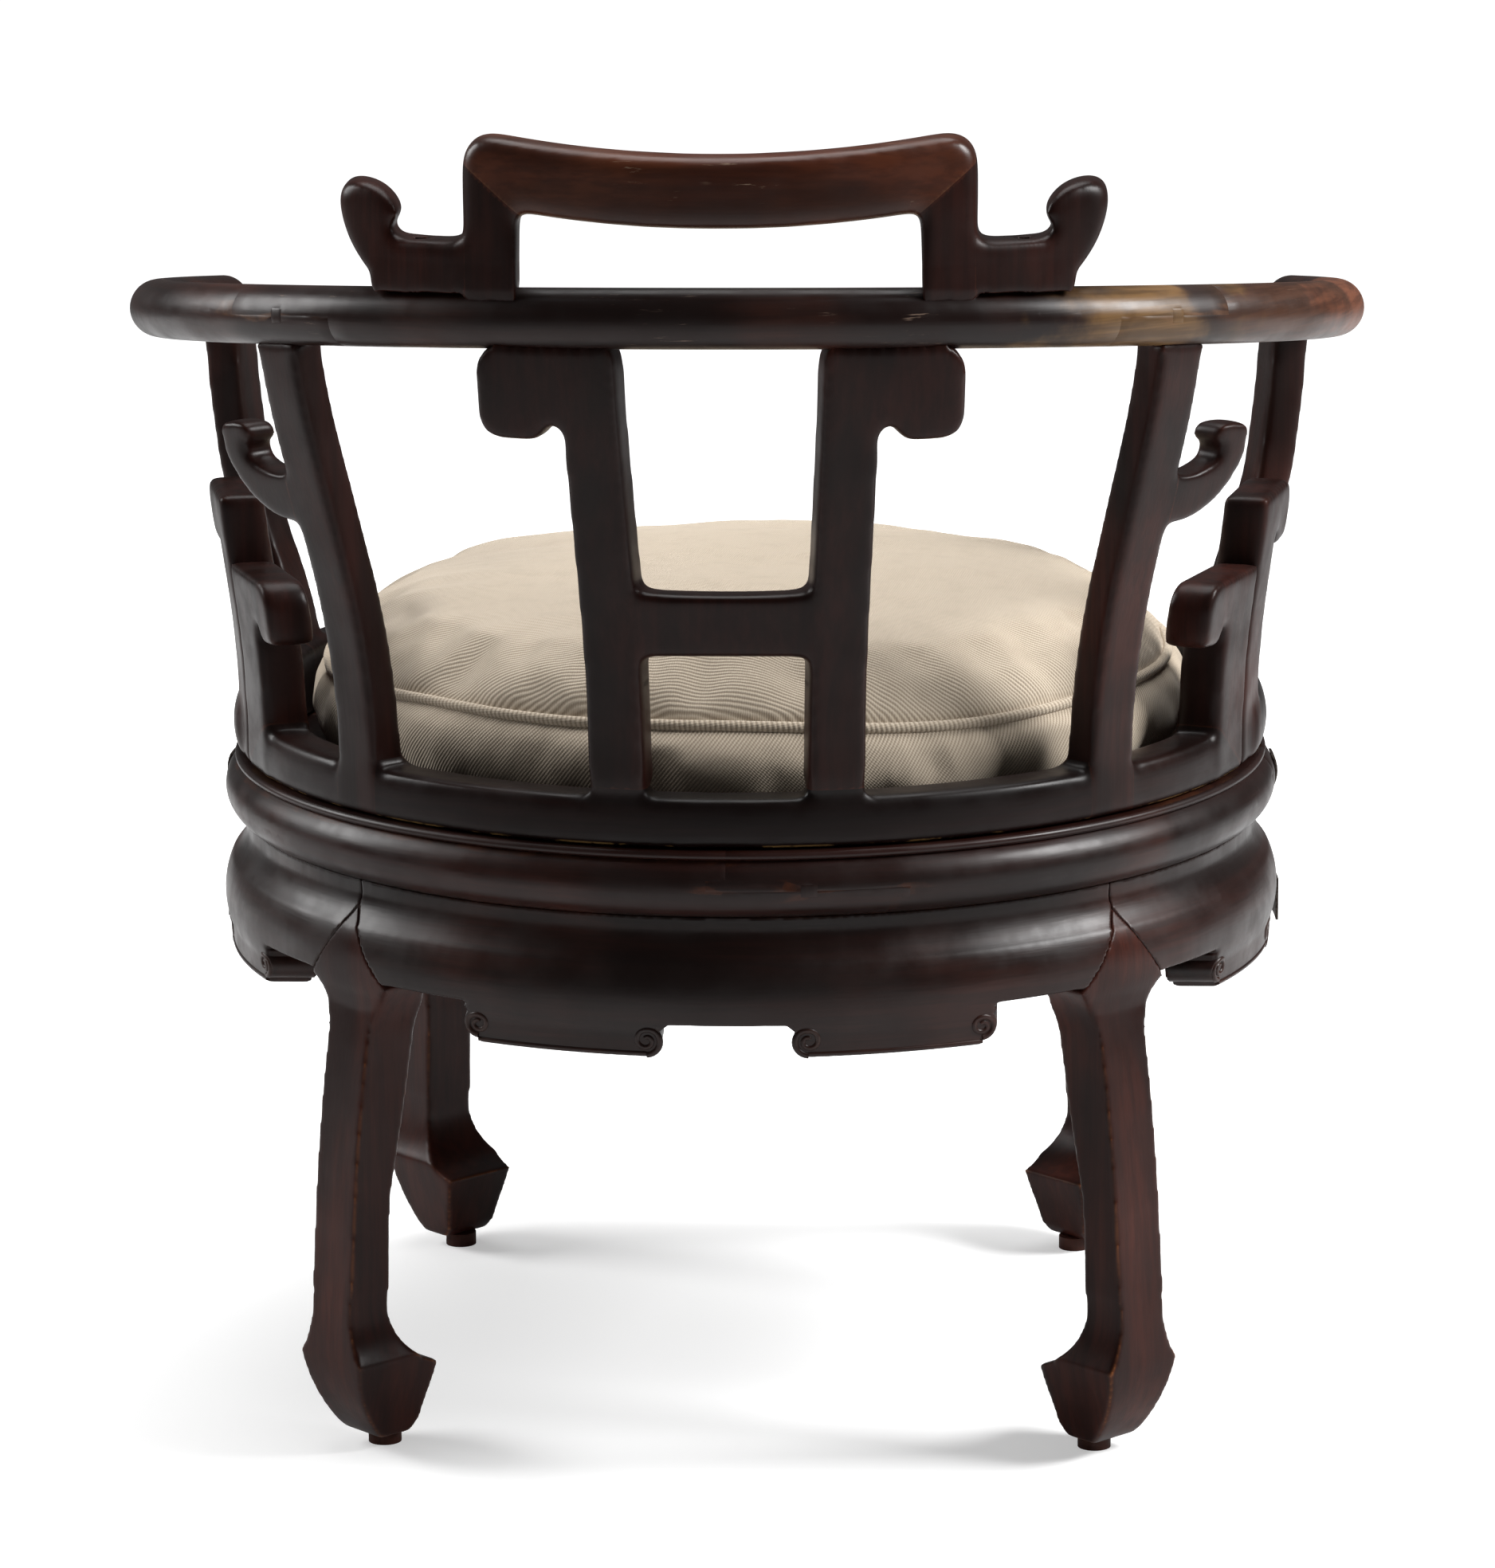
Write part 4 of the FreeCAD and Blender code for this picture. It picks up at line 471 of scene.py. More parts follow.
def sawn(joined, nodeName, choices):
    # Saw one node's piece out of a softened group. Each choice is a list of planes, and the
    # piece keeps what lies behind all of them, within the node's own box.
    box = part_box(nodeName)
    whole = bmesh.new()
    for planes in choices:
        shape = bmesh.new()
        shape.from_mesh(joined)
        far = [vertex for vertex in shape.verts if not inBox(box, vertex.co, sawMargin * 2)]
        bmesh.ops.delete(shape, geom=far, context="VERTS")
        for place, normal, *limits in planes:
            faces = shape.faces[:]
            if limits:
                bottom, top = limits
                faces = [face for face in faces if bottom < face.calc_center_median().z < top]
            cutOff(shape, faces, place, normal)
        inside = []
        for island in islandsOf(shape):
            middle = sum((vertex.co for vertex in island), Vector()) / len(island)
            if inBox(box, middle, sawMargin):
                inside.append(island)
        kept = set(max(inside, key=len))
        loose = [vertex for vertex in shape.verts if vertex not in kept]
        bmesh.ops.delete(shape, geom=loose, context="VERTS")
        part = bpy.data.meshes.new("part")
        shape.to_mesh(part)
        shape.free()
        whole.from_mesh(part)
    flat = [face for face in whole.faces if len(face.verts) > 4]
    for face in whole.faces:
        face.smooth = True
    for face in flat:
        face.smooth = False
        for edge in face.edges:
            edge.smooth = False
    bmesh.ops.triangulate(whole, faces=flat)
    mesh = bpy.data.meshes.new(nodeName + "Sawn")
    whole.to_mesh(mesh)
    whole.free()
    return mesh


def across(turn, side, offset, outwards):
    # A plane beside the radius at a turn from the back, facing forwards or to the back
    forwards = Vector((side * math.cos(turn), -math.sin(turn), 0))
    return seatAxis + forwards * offset, forwards * outwards


def slanted(turn, side, high, low, outwards):
    # A sloping plane through two points beside the radius, each given as an offset and a height
    forwards = Vector((side * math.cos(turn), -math.sin(turn), 0))
    place = Vector((seatAxis.x, seatAxis.y, 0)) + forwards * high[0] + Vector((0, 0, high[1]))
    along = forwards * (low[0] - high[0]) + Vector((0, 0, low[1] - high[1]))
    radius = Vector((side * math.sin(turn), math.cos(turn), 0))
    normal = along.cross(radius).normalized()
    if normal.z < 0:
        normal.negate()
    return place, normal * outwards


armRail = ("arm_rail_back", "arm_rail_left", "arm_rail_right")
joinery = {
    "rearPost": (math.radians(45), 16.5 * mm),      # turn from the back and half the width
    "frontPost": (math.radians(107), 16.5 * mm),
    "shortHook": (math.radians(69.5), 22.5 * mm),
    "tallHook": (math.radians(78), 22.5 * mm),
    "backRailTop": 404 * mm,
    "frontRailTop": 413 * mm,
    "ringTop": 371 * mm,
    "voxel": 1.5 * mm, "passes": 20,                 # passes for everything
    "postPasses": 10, "hookPasses": 40,              # more passes, away from the arm rail
    "carvedOver": 14 * mm, "carvedBeside": 2 * mm,   # how far past a rail or hook they go
    "crisp": 9 * mm, "crispFrom": 0.3,
    "seatReach": 4 * mm, "seatDepth": 1.6 * mm,      # the posts' heads, let into the arm rail
    "railSet": 4 * mm, "railOverlap": 1 * mm,        # the cross rail, let in between the centre posts
    "railClear": 4 * mm, "railFillet": 14 * mm,
    "centreSlope": 0.2,                              # how far the centre posts' faces turn outwards
}


def faceBeside(nodeName, start, side, heights):
    # The sloping plane of a post's inner face, found by looking at it from beside at two heights
    tree = surfaceOf(nodeName)
    sideways = Vector((side, 0, 0))
    low, high = [tree.ray_cast(Vector((start.x, start.y, height)), sideways)[0] for height in heights]
    normal = (high - low).cross(Vector((side * joinery["centreSlope"], 1, 0))).normalized()
    if normal.dot(sideways) < 0:
        normal.negate()
    return low, normal


def letIn(nodeName, planes):
    # A straight rail cut off between two posts and set a little deeper, flush with their backs
    shape = bmesh.new()
    shape.from_mesh(mergedCopy(nodeName))
    for place, normal in planes:
        cutOff(shape, shape.faces[:], place + normal * joinery["railOverlap"], normal)
    bmesh.ops.translate(shape, verts=shape.verts, vec=(0, -joinery["railSet"], 0))
    mesh = bpy.data.meshes.new(nodeName + "LetIn")
    shape.to_mesh(mesh)
    shape.free()
    return mesh


def carvedGroup(names, extra=None):
    # Soften some joined nodes, the hooks and the rails' edges most, and fit them to the arm rail
    joined = softened(names, joinery["voxel"], joinery["passes"], extra)
    railTree = surfaceOf(*armRail)
    turned = [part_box(name) for name in names if "hook" in name or "bracket" in name]
    gentle = weightsNear(joined, railTree, joinery["crisp"], joinery["crispFrom"])
    strong = []
    for vertex, weight in zip(joined.vertices, gentle):
        low = vertex.co.z < joinery["frontRailTop"] + joinery["carvedOver"]
        carved = low or any(inBox(box, vertex.co, joinery["carvedBeside"]) for box in turned)
        strong.append(weight if carved else 0.0)
    joined = eased(joined, joinery["postPasses"], gentle)
    joined = eased(joined, joinery["hookPasses"], strong)
    seatInto(joined, railTree, joinery["seatReach"], joinery["seatDepth"])
    return joined


def makeFramework():
    # Posts, hooks, brackets and base rails are softened together and then sawn at their joints
    front = [name for name in sorted(nodes) if name.startswith((
        "front_post", "tall_hook", "base_rail_front"))]
    rear = [name for name in sorted(nodes) if name not in front and name.startswith((
        "rear_post", "centre_post", "short_hook", "rear_bracket", "base_rail"))]
    crossLow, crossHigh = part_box("centre_cross_rail")
    start = Vector((0, (crossLow.y + crossHigh.y) / 2, 0))
    heights = (crossLow.z - joinery["railClear"], crossHigh.z + joinery["railClear"])
    shoulders = {side: faceBeside("centre_post_" + word, start, side, heights)
                 for word, side in (("left", 1), ("right", -1))}
    carvedRear = carvedGroup(rear, letIn("centre_cross_rail", shoulders.values()))
    carvedFront = carvedGroup(front)
    rearTurn, rearHalf = joinery["rearPost"]
    frontTurn, frontHalf = joinery["frontPost"]
    shortTurn, shortHalf = joinery["shortHook"]
    tallTurn, tallHalf = joinery["tallHook"]
    meeting = (shortTurn + tallTurn) / 2
    backTop, frontTop, ringTop = joinery["backRailTop"], joinery["frontRailTop"], joinery["ringTop"]
    shortSeam = ((-shortHalf, backTop), (shortHalf, ringTop))
    tallSeam = ((tallHalf, frontTop), (0, ringTop))
    cuts = {"base_rail_back": [[across(rearTurn, 1, -rearHalf, 1), across(rearTurn, -1, -rearHalf, 1),
                                (Vector((0, 0, backTop)), Vector((0, 0, 1)))]],
            "centre_cross_rail": [[shoulders[1], shoulders[-1]]]}
    for word, side in (("left", 1), ("right", -1)):
        behindRear = across(rearTurn, side, rearHalf, -1)
        shoulder, inwards = shoulders[side]
        cuts["rear_post_" + word] = [[across(rearTurn, side, rearHalf, 1),
                                      across(rearTurn, side, -rearHalf, -1)]]
        cuts["rear_bracket_" + word] = [[behindRear]]
        cuts["centre_post_" + word] = [[(Vector((0, 0, backTop)), Vector((0, 0, -1))), (
            shoulder, -inwards, crossLow.z - joinery["railFillet"], crossHigh.z + joinery["railFillet"])]]
        cuts["base_rail_" + word] = [[behindRear, slanted(shortTurn, side, *shortSeam, 1)]]
        cuts["short_hook_" + word] = [[behindRear, slanted(shortTurn, side, *shortSeam, -1),
                                       across(meeting, side, 0, 1)]]
        cuts["tall_hook_" + word] = [[across(meeting, side, 0, -1), slanted(tallTurn, side, *tallSeam, -1),
                                      across(frontTurn, side, -frontHalf, 1)]]
        cuts["base_rail_front_" + word] = [[slanted(tallTurn, side, *tallSeam, 1),
                                            across(frontTurn, side, -frontHalf, 1)],
                                           [across(frontTurn, side, frontHalf, -1)]]
        cuts["front_post_" + word] = [[across(frontTurn, side, frontHalf, 1),
                                       across(frontTurn, side, -frontHalf, -1)]]
    for nodeName, choices in cuts.items():
        material = woods["base"] if nodeName.startswith("base_rail") else woods["post"]
        joined = carvedFront if nodeName in front else carvedRear
        finished(nodeName + "_carved", sawn(joined, nodeName, choices), material, nodeName)


crestLooks = {
    "voxel": 1.3 * mm, "passes": 50,
    "swell": 1.0 * mm, "roundPasses": 120,            # the rail and post heads are rounded like a bolster
    "roundBelow": 22 * mm, "roundFade": 30 * mm,      # where that begins, under the rail
    "round": 14.5 * mm, "postWidth": 28.5 * mm, "railHeight": 39 * mm,
    "seatReach": 5 * mm, "seatDepth": 2.4 * mm, "seatMargin": 2 * mm,
}


def makeCrest():
    # The crest rail, its posts and its ears are rounded together and then sawn at their mitres
    looks = crestLooks
    names = [name for name in sorted(nodes) if name.startswith("crest_")]
    joined = softened(names, looks["voxel"], looks["passes"])
    crestLow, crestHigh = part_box("crest_rail")
    weights = []
    normals = [vertex.normal.copy() for vertex in joined.vertices]
    for vertex, normal in zip(joined.vertices, normals):
        share = (vertex.co.z - crestLow.z + looks["roundBelow"]) / looks["roundFade"]
        weights.append(round(min(1.0, max(0.0, share)), 1))
        vertex.co += normal * looks["swell"] * weights[-1]
    joined = eased(joined, looks["roundPasses"], weights)
    over = max(vertex.co.z for vertex in joined.vertices) - crestHigh.z
    for vertex in joined.vertices:
        if over > 0 and vertex.co.z > crestLow.z:
            vertex.co.z -= over * (vertex.co.z - crestLow.z) / (crestHigh.z - crestLow.z)
    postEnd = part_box("crest_post_left")[1].x + looks["seatMargin"]
    seatInto(joined, surfaceOf(*armRail), looks["seatReach"], looks["seatDepth"], postEnd)
    half, high = crestHigh.x, crestHigh.z
    outer = Vector((half, 0, high - looks["round"]))
    inner = Vector((half - looks["postWidth"], 0, high - looks["railHeight"]))
    slope = (inner - outer).cross(Vector((0, 1, 0))).normalized()
    if slope.z < 0:
        slope.negate()
    mitres = []
    cuts = {"crest_rail": [mitres]}
    for word, side in (("left", 1), ("right", -1)):
        mitre = Vector((outer.x * side, 0, outer.z))
        above = Vector((slope.x * side, 0, slope.z))
        mitres.append((mitre, -above))
        jointPlace = Vector((half * side, 0, 0))
        cuts["crest_post_" + word] = [[(mitre, above), (jointPlace, Vector((side, 0, 0)))]]
        cuts["crest_ear_" + word] = [[(jointPlace, Vector((-side, 0, 0)))]]
    for nodeName, choices in cuts.items():
        material = woods["crest"] if nodeName == "crest_rail" else woods["post"]
        finished(nodeName + "_carved", sawn(joined, nodeName, choices), material, nodeName)


apronNames = ("apron_back", "apron_left", "apron_front", "apron_right")     # in order of their turn
carving = {
    "lobeIn": 44.5 * mm, "lobeOut": 139.5 * mm,       # tangential places of the volutes' middles
    "innerHeight": 265.0 * mm, "outerHeight": 266.5 * mm,
    "lobeRound": 8.4 * mm, "lobeReach": 15 * mm,      # radius of a lobe's curled end
    "turns": 1.6, "innerWidth": 8.4 * mm, "outerWidth": 7.0 * mm, "narrowest": 1.5 * mm,
    "ridge": 2.0 * mm, "ridgeEnd": 1.5 * mm, "sunk": 0.45, "steps": 48,
    "rim": 1.5 * mm, "rimHeight": 257.4 * mm, "rimSteps": 40,
    "castFrom": 400 * mm,
}
skirtLooks = {
    "voxel": 1.3 * mm, "legPasses": 20, "apronPasses": 9, "crisp": 6 * mm, "crispFrom": 0.15,
}


def roundedLobes(mesh, nodeName):
    # Curl the ends of an apron's lobes round the middles of their volutes
    turn = math.radians(90) * apronNames.index(nodeName)
    forwards = Vector((math.cos(turn), -math.sin(turn), 0))
    ends = []
    for sign in (1, -1):
        ends.append((carving["lobeIn"] * sign, carving["innerHeight"], -sign))
        ends.append((carving["lobeOut"] * sign, carving["outerHeight"], sign))
    for vertex in mesh.vertices:
        offset = (vertex.co - seatAxis).dot(forwards)
        for middle, height, outwards in ends:
            beside = (offset - middle) * outwards
            above = vertex.co.z - height
            distance = math.hypot(beside, above)
            shift = distance - carving["lobeRound"]
            if beside > 0 and above < carving["lobeRound"] and shift > 0 and distance < carving["lobeReach"]:
                vertex.co -= forwards * (shift * beside / distance * outwards)
                vertex.co.z -= shift * above / distance


def makeSkirt():
    # Legs and aprons are softened apart, and stay crisp where they are mitred together
    ring = [name for name in nodes if name.startswith("seat_ring")]
    legs = [name for name in sorted(nodes) if name.startswith("leg_")]
    aprons = sorted(apronNames)
    for group, others, material, passes in ((legs, aprons, woods["leg"], skirtLooks["legPasses"]),
                                            (aprons, legs, woods["apron"], skirtLooks["apronPasses"])):
        tree = surfaceOf(*others, *ring)
        for nodeName in group:
            blank = withModifiers(mergedCopy(nodeName), [
                ("REMESH", {"mode": "VOXEL", "voxel_size": skirtLooks["voxel"], "use_smooth_shade": True}),
                ("SHRINKWRAP", {"target": nodes[nodeName], "wrap_method": "NEAREST_SURFACEPOINT"})])
            weights = weightsNear(blank, tree, skirtLooks["crisp"], skirtLooks["crispFrom"])
            mesh = eased(blank, passes, weights)
            if group is aprons:
                roundedLobes(mesh, nodeName)
            finished(nodeName + "_carved", mesh, material, nodeName)


makeFramework()
print("stage: posts, hooks and base rails carved")
makeCrest()
print("stage: crest carved")
makeSkirt()
print("stage: legs and aprons carved")

crispLooks = {
    "segments": 2, "bevelFrom": math.radians(32), "sharpFrom": math.radians(28),
    # which nodes, of what, and how wide their arrises are
    "pieces": ((("seat_ring", "ring_keys", "seat_panel", "seat_battens"), woods["ring"], 0.5 * mm),
               (("arm_rail",), woods["rail"], 0.5 * mm),
               (("ring_straps", "apron_plates"), iron, 0.3 * mm),
               (("foot_pads",), woods["pads"], 1.2 * mm),
               (("ear_pegs",), woods["post"], 0.3 * mm)),
}


def crispPiece(nodeName, material, width):
    # Keep a piece crisp and only take its arrises off
    mesh = withModifiers(mergedCopy(nodeName), [("BEVEL", {
        "width": width, "segments": crispLooks["segments"], "limit_method": "ANGLE",
        "angle_limit": crispLooks["bevelFrom"], "harden_normals": False})])
    mesh.set_sharp_from_angle(angle=crispLooks["sharpFrom"])
    finished(nodeName + "_eased", mesh, material, nodeName)


for nodeName in sorted(nodes):
    for starts, material, width in crispLooks["pieces"]:
        if nodeName.startswith(starts):
            crispPiece(nodeName, material, width)
print("stage: ring, arm rail and small pieces eased")


def laidLine(points, tree, turn):
    # Lay a line of points, each an offset, a height and a thickness, on the face of an apron
    outwards = Vector((math.sin(turn), math.cos(turn), 0))
    forwards = Vector((math.cos(turn), -math.sin(turn), 0))
    laid = []
    for offset, height, thick in points:
        start = Vector((seatAxis.x, seatAxis.y, height)) + forwards * offset + outwards * carving["castFrom"]
        hit = tree.ray_cast(start, -outwards)[0]
        if hit is not None:
            laid.append((hit - outwards * thick * carving["sunk"], thick))
    return laid


def roundCurve(name, line, bevel, resolution, closed=False):
    # A round bar along a line of places, each with its share of the bar's radius
    curve = bpy.data.curves.new(name, "CURVE")
    curve.dimensions = "3D"
    curve.bevel_depth = bevel
    curve.bevel_resolution = resolution
    curve.use_fill_caps = True
    spline = curve.splines.new("POLY")
    spline.points.add(len(line) - 1)
    spline.use_cyclic_u = closed
    for point, (place, thick) in zip(spline.points, line):
        point.co = (*place, 1)
        point.radius = thick
    return curve


def volutePoints(offset, height, widest, hand):
    looks = carving
    points = []
    for step in range(looks["steps"] + 1):
        share = step / looks["steps"]
        radius = widest * (1 - share) + looks["narrowest"] * share
        angle = math.radians(-90) - hand * share * looks["turns"] * 2 * math.pi
        thick = looks["ridge"] * (1 - share) + looks["ridgeEnd"] * share
        points.append((offset + radius * math.cos(angle), height + radius * math.sin(angle), thick))
    return points


def makeCarvings(material):
    # Volutes and a raised rim carved on each apron's lobes
    for number, nodeName in enumerate(apronNames):
        tree = surfaceOf(nodeName)
        lines = []
        for sign in (1, -1):
            first, last = carving["lobeIn"] * sign, carving["lobeOut"] * sign
            lines.append(volutePoints(first, carving["innerHeight"], carving["innerWidth"], sign))
            lines.append(volutePoints(last, carving["outerHeight"], carving["outerWidth"], -sign))
            lines.append([(first + (last - first) * step / carving["rimSteps"], carving["rimHeight"],
                           carving["rim"]) for step in range(carving["rimSteps"] + 1)])
        shape = bmesh.new()
        for line in lines:
            laid = laidLine(line, tree, math.radians(90) * number)
            shape.from_mesh(withModifiers(roundCurve(nodeName + "Ridge", laid, 1.0, 2)))
        mesh = bpy.data.meshes.new(nodeName + "Carving")
        shape.to_mesh(mesh)
        shape.free()
        finished(nodeName + "_volutes", mesh, material, nodeName, replaces=False)


makeCarvings(woods["apron"])
print("stage: volutes carved")

cushionLooks = {
    "voxel": 5 * mm,
    "start": 0.985,         # how much smaller it starts, because the cover swells
    "lumps": 9, "lumpDepth": 2.5 * mm,
    "frames": 20,
    "cloth": {              # the cover is cut a little larger than the filling
        "quality": 6, "mass": 0.3, "tension_stiffness": 12, "compression_stiffness": 12,
        "bending_stiffness": 1.2, "use_pressure": True, "uniform_pressure_force": 1.4,
        "shrink_min": -0.03, "vertex_group_mass": "held"},
    "heldFoot": 8 * mm, "heldSeam": 4 * mm, "heldFrom": 235 * mm, "seamHold": 0.85,
    "cap": 10 * mm,
    "relax": 4,             # passes that take out the sharpest small dents
    "radius": 262 * mm,
    "seamHeight": 427 * mm,
    "seamDraw": 3.5 * mm, "seamWidth": 5 * mm, "seamFrom": 200 * mm,
    "topFrom": 4 * mm, "topFade": 12 * mm,
    "hollow": 3.4 * mm,     # long soft hollows left in the top by use
    "crease": 2.0 * mm,     # shorter creases that run from side to side
    "footSeam": 6 * mm,
    "piping": 3.1 * mm, "pipingOut": 1.2 * mm, "pipingSteps": 180, "castFrom": 320 * mm,
}


def seamWave(turn):
    # How far the piped seam wanders up and down round the cushion
    return (math.sin(turn * 3 + 0.6) * 2.2 + math.sin(turn * 7 + 2.0) * 1.1) * mm


def weaveLayout(mesh, topFrom, hand):
    # Lay the weave flat on the top and underneath, and round the band on the sides
    layer = mesh.uv_layers.new(name="weave")
    topTurn = clothLooks["topTurn"]
    for polygon in mesh.polygons:
        top = topFrom is not None and (polygon.center.z > topFrom or polygon.normal.z < -0.8)
        points = [mesh.vertices[mesh.loops[corner].vertex_index].co for corner in polygon.loop_indices]
        turns = [math.atan2(point.x - seatAxis.x, point.y - seatAxis.y) for point in points]
        crossing = max(turns) - min(turns) > math.pi
        for corner, point, turn in zip(polygon.loop_indices, points, turns):
            if top:
                layer.data[corner].uv = (point.x * math.cos(topTurn) - point.y * math.sin(topTurn),
                                         point.x * math.sin(topTurn) + point.y * math.cos(topTurn))
            else:
                if crossing and turn < 0:
                    turn += 2 * math.pi
                layer.data[corner].uv = (turn * hand * cushionLooks["radius"], point.z)


def filledCover(piece, low):
    # Blow the cover up over its filling, with its foot held and its seam almost held
    looks = cushionLooks
    start = [vertex.co.copy() for vertex in piece.data.vertices]
    held = piece.vertex_groups.new(name="held")
    for vertex in piece.data.vertices:
        radius = math.hypot(vertex.co.x, vertex.co.y - seatAxis.y)
        if vertex.co.z < low + looks["heldFoot"]:
            held.add([vertex.index], 1.0, "REPLACE")
        elif abs(vertex.co.z - looks["seamHeight"]) < looks["heldSeam"] and radius > looks["heldFrom"]:
            held.add([vertex.index], looks["seamHold"], "REPLACE")
    cloth = piece.modifiers.new("cloth", "CLOTH")
    for key, value in looks["cloth"].items():
        setattr(cloth.settings, key, value)
    cloth.settings.effector_weights.gravity = 0
    cloth.collision_settings.use_collision = False
    for step in range(1, looks["frames"] + 1):
        scene.frame_set(step)
    graph = bpy.context.evaluated_depsgraph_get()
    mesh = bpy.data.meshes.new_from_object(piece.evaluated_get(graph))
    scene.frame_set(1)
    for vertex, first in zip(mesh.vertices, start):
        shift = vertex.co - first
        if shift.length > looks["cap"]:
            vertex.co = first + shift * (looks["cap"] / shift.length)
    return mesh


def makeCushion(material):
    looks = cushionLooks
    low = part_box("cushion")[0].z
    mesh = withModifiers(mergedCopy("cushion"), [
        ("REMESH", {"mode": "VOXEL", "voxel_size": looks["voxel"], "use_smooth_shade": True})])
    for vertex in mesh.vertices:
        vertex.co.x *= looks["start"]
        vertex.co.y = seatAxis.y + (vertex.co.y - seatAxis.y) * looks["start"]
        vertex.co.z += noise.noise(vertex.co * looks["lumps"]) * looks["lumpDepth"]
    piece = bpy.data.objects.new("cushion_cover", mesh)
    scene.collection.objects.link(piece)
    mesh = filledCover(piece, low)
    bpy.data.objects.remove(piece)
    shape = bmesh.new()
    shape.from_mesh(mesh)
    for step in range(looks["relax"]):
        bmesh.ops.smooth_vert(shape, verts=shape.verts, factor=0.5, use_axis_x=True, use_axis_y=True,
                              use_axis_z=True)
    for vertex in shape.verts:
        flat = Vector((vertex.co.x, vertex.co.y - seatAxis.y, 0))
        if flat.length > looks["seamFrom"]:
            # The stitching draws the cover in along the seam
            height = looks["seamHeight"] + seamWave(math.atan2(flat.x, flat.y))
            near = math.exp(-((vertex.co.z - height) / looks["seamWidth"]) ** 2)
            vertex.co -= flat.normalized() * looks["seamDraw"] * near
        over = vertex.co.z - looks["seamHeight"] - looks["topFrom"]
        onTop = min(1.0, max(0.0, over / looks["topFade"]))
        slow = Vector((vertex.co.x * 7, vertex.co.y * 11, 3.1))
        quick = Vector((vertex.co.x * 11 + noise.noise(slow) * 1.5, vertex.co.y * 38, 7.7))
        fold = (1 - abs(noise.noise(quick)) * 2.2) * max(0.0, noise.noise(slow * 1.3) + 0.35)
        vertex.co.z += onTop * (noise.noise(slow) * looks["hollow"] + fold * looks["crease"])
        vertex.co.z = max(vertex.co.z, low)
    shape.to_mesh(mesh)
    shape.free()
    mesh = withModifiers(mesh, [("SUBSURF", {"levels": 1, "render_levels": 1})])
    weaveLayout(mesh, looks["seamHeight"], -1)
    cushion = finished("cushion_cover", mesh, material, "cushion")
    return cushion


def makePiping(name, cushion, height, material):
    # A covered cord stitched into the seam, laid on the cushion's own surface
    looks = cushionLooks
    tree = BVHTree.FromPolygons([vertex.co for vertex in cushion.data.vertices],
                                [polygon.vertices for polygon in cushion.data.polygons])
    line = []
    for step in range(looks["pipingSteps"]):
        turn = step / looks["pipingSteps"] * 2 * math.pi
        outward = Vector((math.sin(turn), math.cos(turn), 0))
        start = Vector((seatAxis.x, seatAxis.y, height + seamWave(turn))) + outward * looks["castFrom"]
        hit = tree.ray_cast(start, -outward)[0]
        line.append((hit + outward * looks["pipingOut"], 1.0))
    mesh = withModifiers(roundCurve(name, line, looks["piping"], 4, closed=True))
    weaveLayout(mesh, None, 1)
    finished(name, mesh, material, "cushion", replaces=False)


twill = ribbedTwill("cottonTwill", clothLooks["bandTurn"], clothLooks["ribSpacing"])
pipingTwill = ribbedTwill("cottonTwillBias", clothLooks["pipingTurn"], clothLooks["pipingSpacing"])
cushion = makeCushion(twill)
print("stage: cushion sewn")
makePiping("piping_top", cushion, cushionLooks["seamHeight"], pipingTwill)
makePiping("piping_bottom", cushion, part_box("cushion")[0].z + cushionLooks["footSeam"], pipingTwill)
print("stage: piping sewn on")

studio = {
    "floorSize": 40.0, "floorTone": 0.8,
    "glowNear": 0.40, "glowFar": 1.0,                 # white added to the floor for the camera
    "glowFrom": 0.55, "glowTo": 1.9,                  # metres from the chair
    "leftPlace": (2.5, -0.55, 1.75), "leftSize": 1.4, "leftPower": 62.0,
    "rightPlace": (-2.5, 0.3, 2.1), "rightSize": 1.1, "rightPower": 125.0,
    "topPlace": (0.0, -0.5, 2.9), "topSize": 2.0, "topPower": 56.0,
    "aim": (0, 0, 0.4),
    "world": 0.09,
}


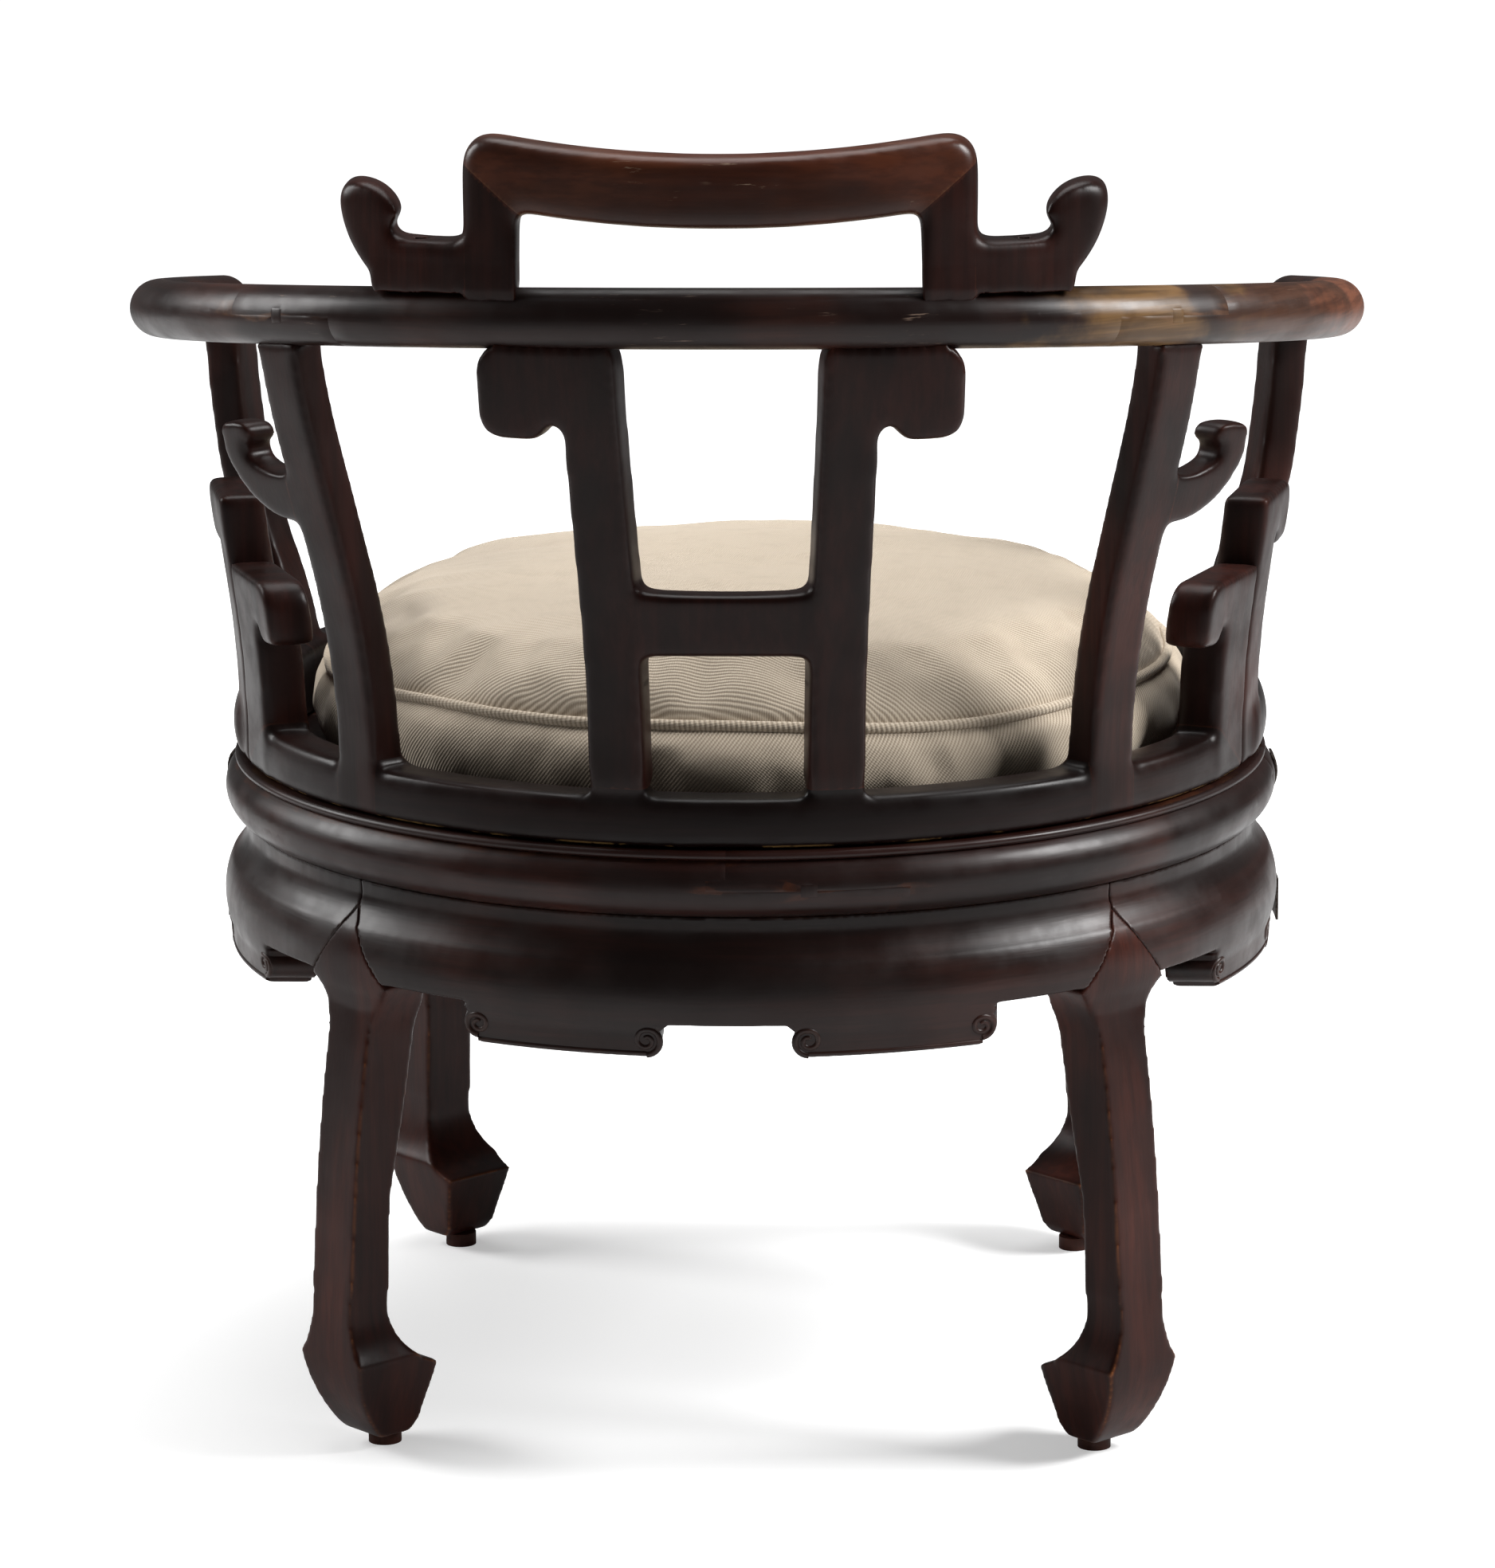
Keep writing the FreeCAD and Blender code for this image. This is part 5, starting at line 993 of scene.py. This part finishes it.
def makeFloor():
    bpy.ops.mesh.primitive_plane_add(size=studio["floorSize"])
    floor = bpy.context.object
    floor.name = "studio_floor"
    material, tree, surface = newMaterial("studioFloor")
    tree.nodes.remove(surface)
    tone = studio["floorTone"]
    diffuse = addNode(tree, "ShaderNodeBsdfDiffuse", inputs={"Color": (tone, tone, tone, 1)}, output=0)
    place = addNode(tree, "ShaderNodeTexCoord", output="Object")
    away = addNode(tree, "ShaderNodeVectorMath", {"operation": "LENGTH"}, {0: place}, "Value")
    glow = addNode(tree, "ShaderNodeMapRange", smoothStep, {
        "Value": away, "From Min": studio["glowFrom"], "From Max": studio["glowTo"],
        "To Min": studio["glowNear"], "To Max": studio["glowFar"]}, "Result")
    seen = addNode(tree, "ShaderNodeLightPath", output="Is Camera Ray")
    strength = addNode(tree, "ShaderNodeMath", product, {0: glow, 1: seen}, 0)
    emission = addNode(tree, "ShaderNodeEmission", inputs={"Strength": strength}, output=0)
    both = addNode(tree, "ShaderNodeAddShader", inputs={0: diffuse, 1: emission}, output=0)
    tree.links.new(both, tree.nodes["Material Output"].inputs["Surface"])
    floor.data.materials.append(material)


def makeLights():
    # Two softboxes beside the chair and one above it, with a white backdrop for the camera alone
    world = bpy.data.worlds.new("studioWorld")
    scene.world = world
    world.use_nodes = True
    sky = world.node_tree
    seen = addNode(sky, "ShaderNodeLightPath", output="Is Camera Ray")
    level = addNode(sky, "ShaderNodeMapRange", inputs={
        "Value": seen, "To Min": studio["world"], "To Max": 1.0}, output="Result")
    backdrop = sky.nodes["Background"]
    backdrop.inputs["Color"].default_value = (1, 1, 1, 1)
    sky.links.new(level, backdrop.inputs["Strength"])
    for name in ("left", "right", "top"):
        data = bpy.data.lights.new(name + "Softbox", "AREA")
        data.size = studio[name + "Size"]
        data.energy = studio[name + "Power"]
        lamp = bpy.data.objects.new(name + "Softbox", data)
        lamp.location = studio[name + "Place"]
        lamp.rotation_euler = (Vector(studio["aim"]) - lamp.location).to_track_quat("-Z", "Y").to_euler()
        scene.collection.objects.link(lamp)


view = {
    "place": (-0.1656, 3.7006, 1.1655),
    "turn": 182.572, "tilt": -12.445, "roll": -0.355,      # degrees
    "lens": 147.84, "sensor": 36.0, "clipEnd": 60,
}


def makeCamera():
    data = bpy.data.cameras.new("camera")
    data.lens = view["lens"]
    data.sensor_width = view["sensor"]
    data.sensor_fit = "AUTO"
    data.clip_end = view["clipEnd"]
    camera = bpy.data.objects.new("camera", data)
    turned = Matrix.Rotation(math.radians(view["turn"]), 4, "Z")
    tilted = Matrix.Rotation(math.radians(90 + view["tilt"]), 4, "X")
    rolled = Matrix.Rotation(math.radians(view["roll"]), 4, "Z")
    camera.matrix_world = Matrix.Translation(view["place"]) @ turned @ tilted @ rolled
    scene.collection.objects.link(camera)
    scene.camera = camera


makeFloor()
makeLights()
makeCamera()
scene.view_settings.view_transform = "Standard"
print("stage: studio set")
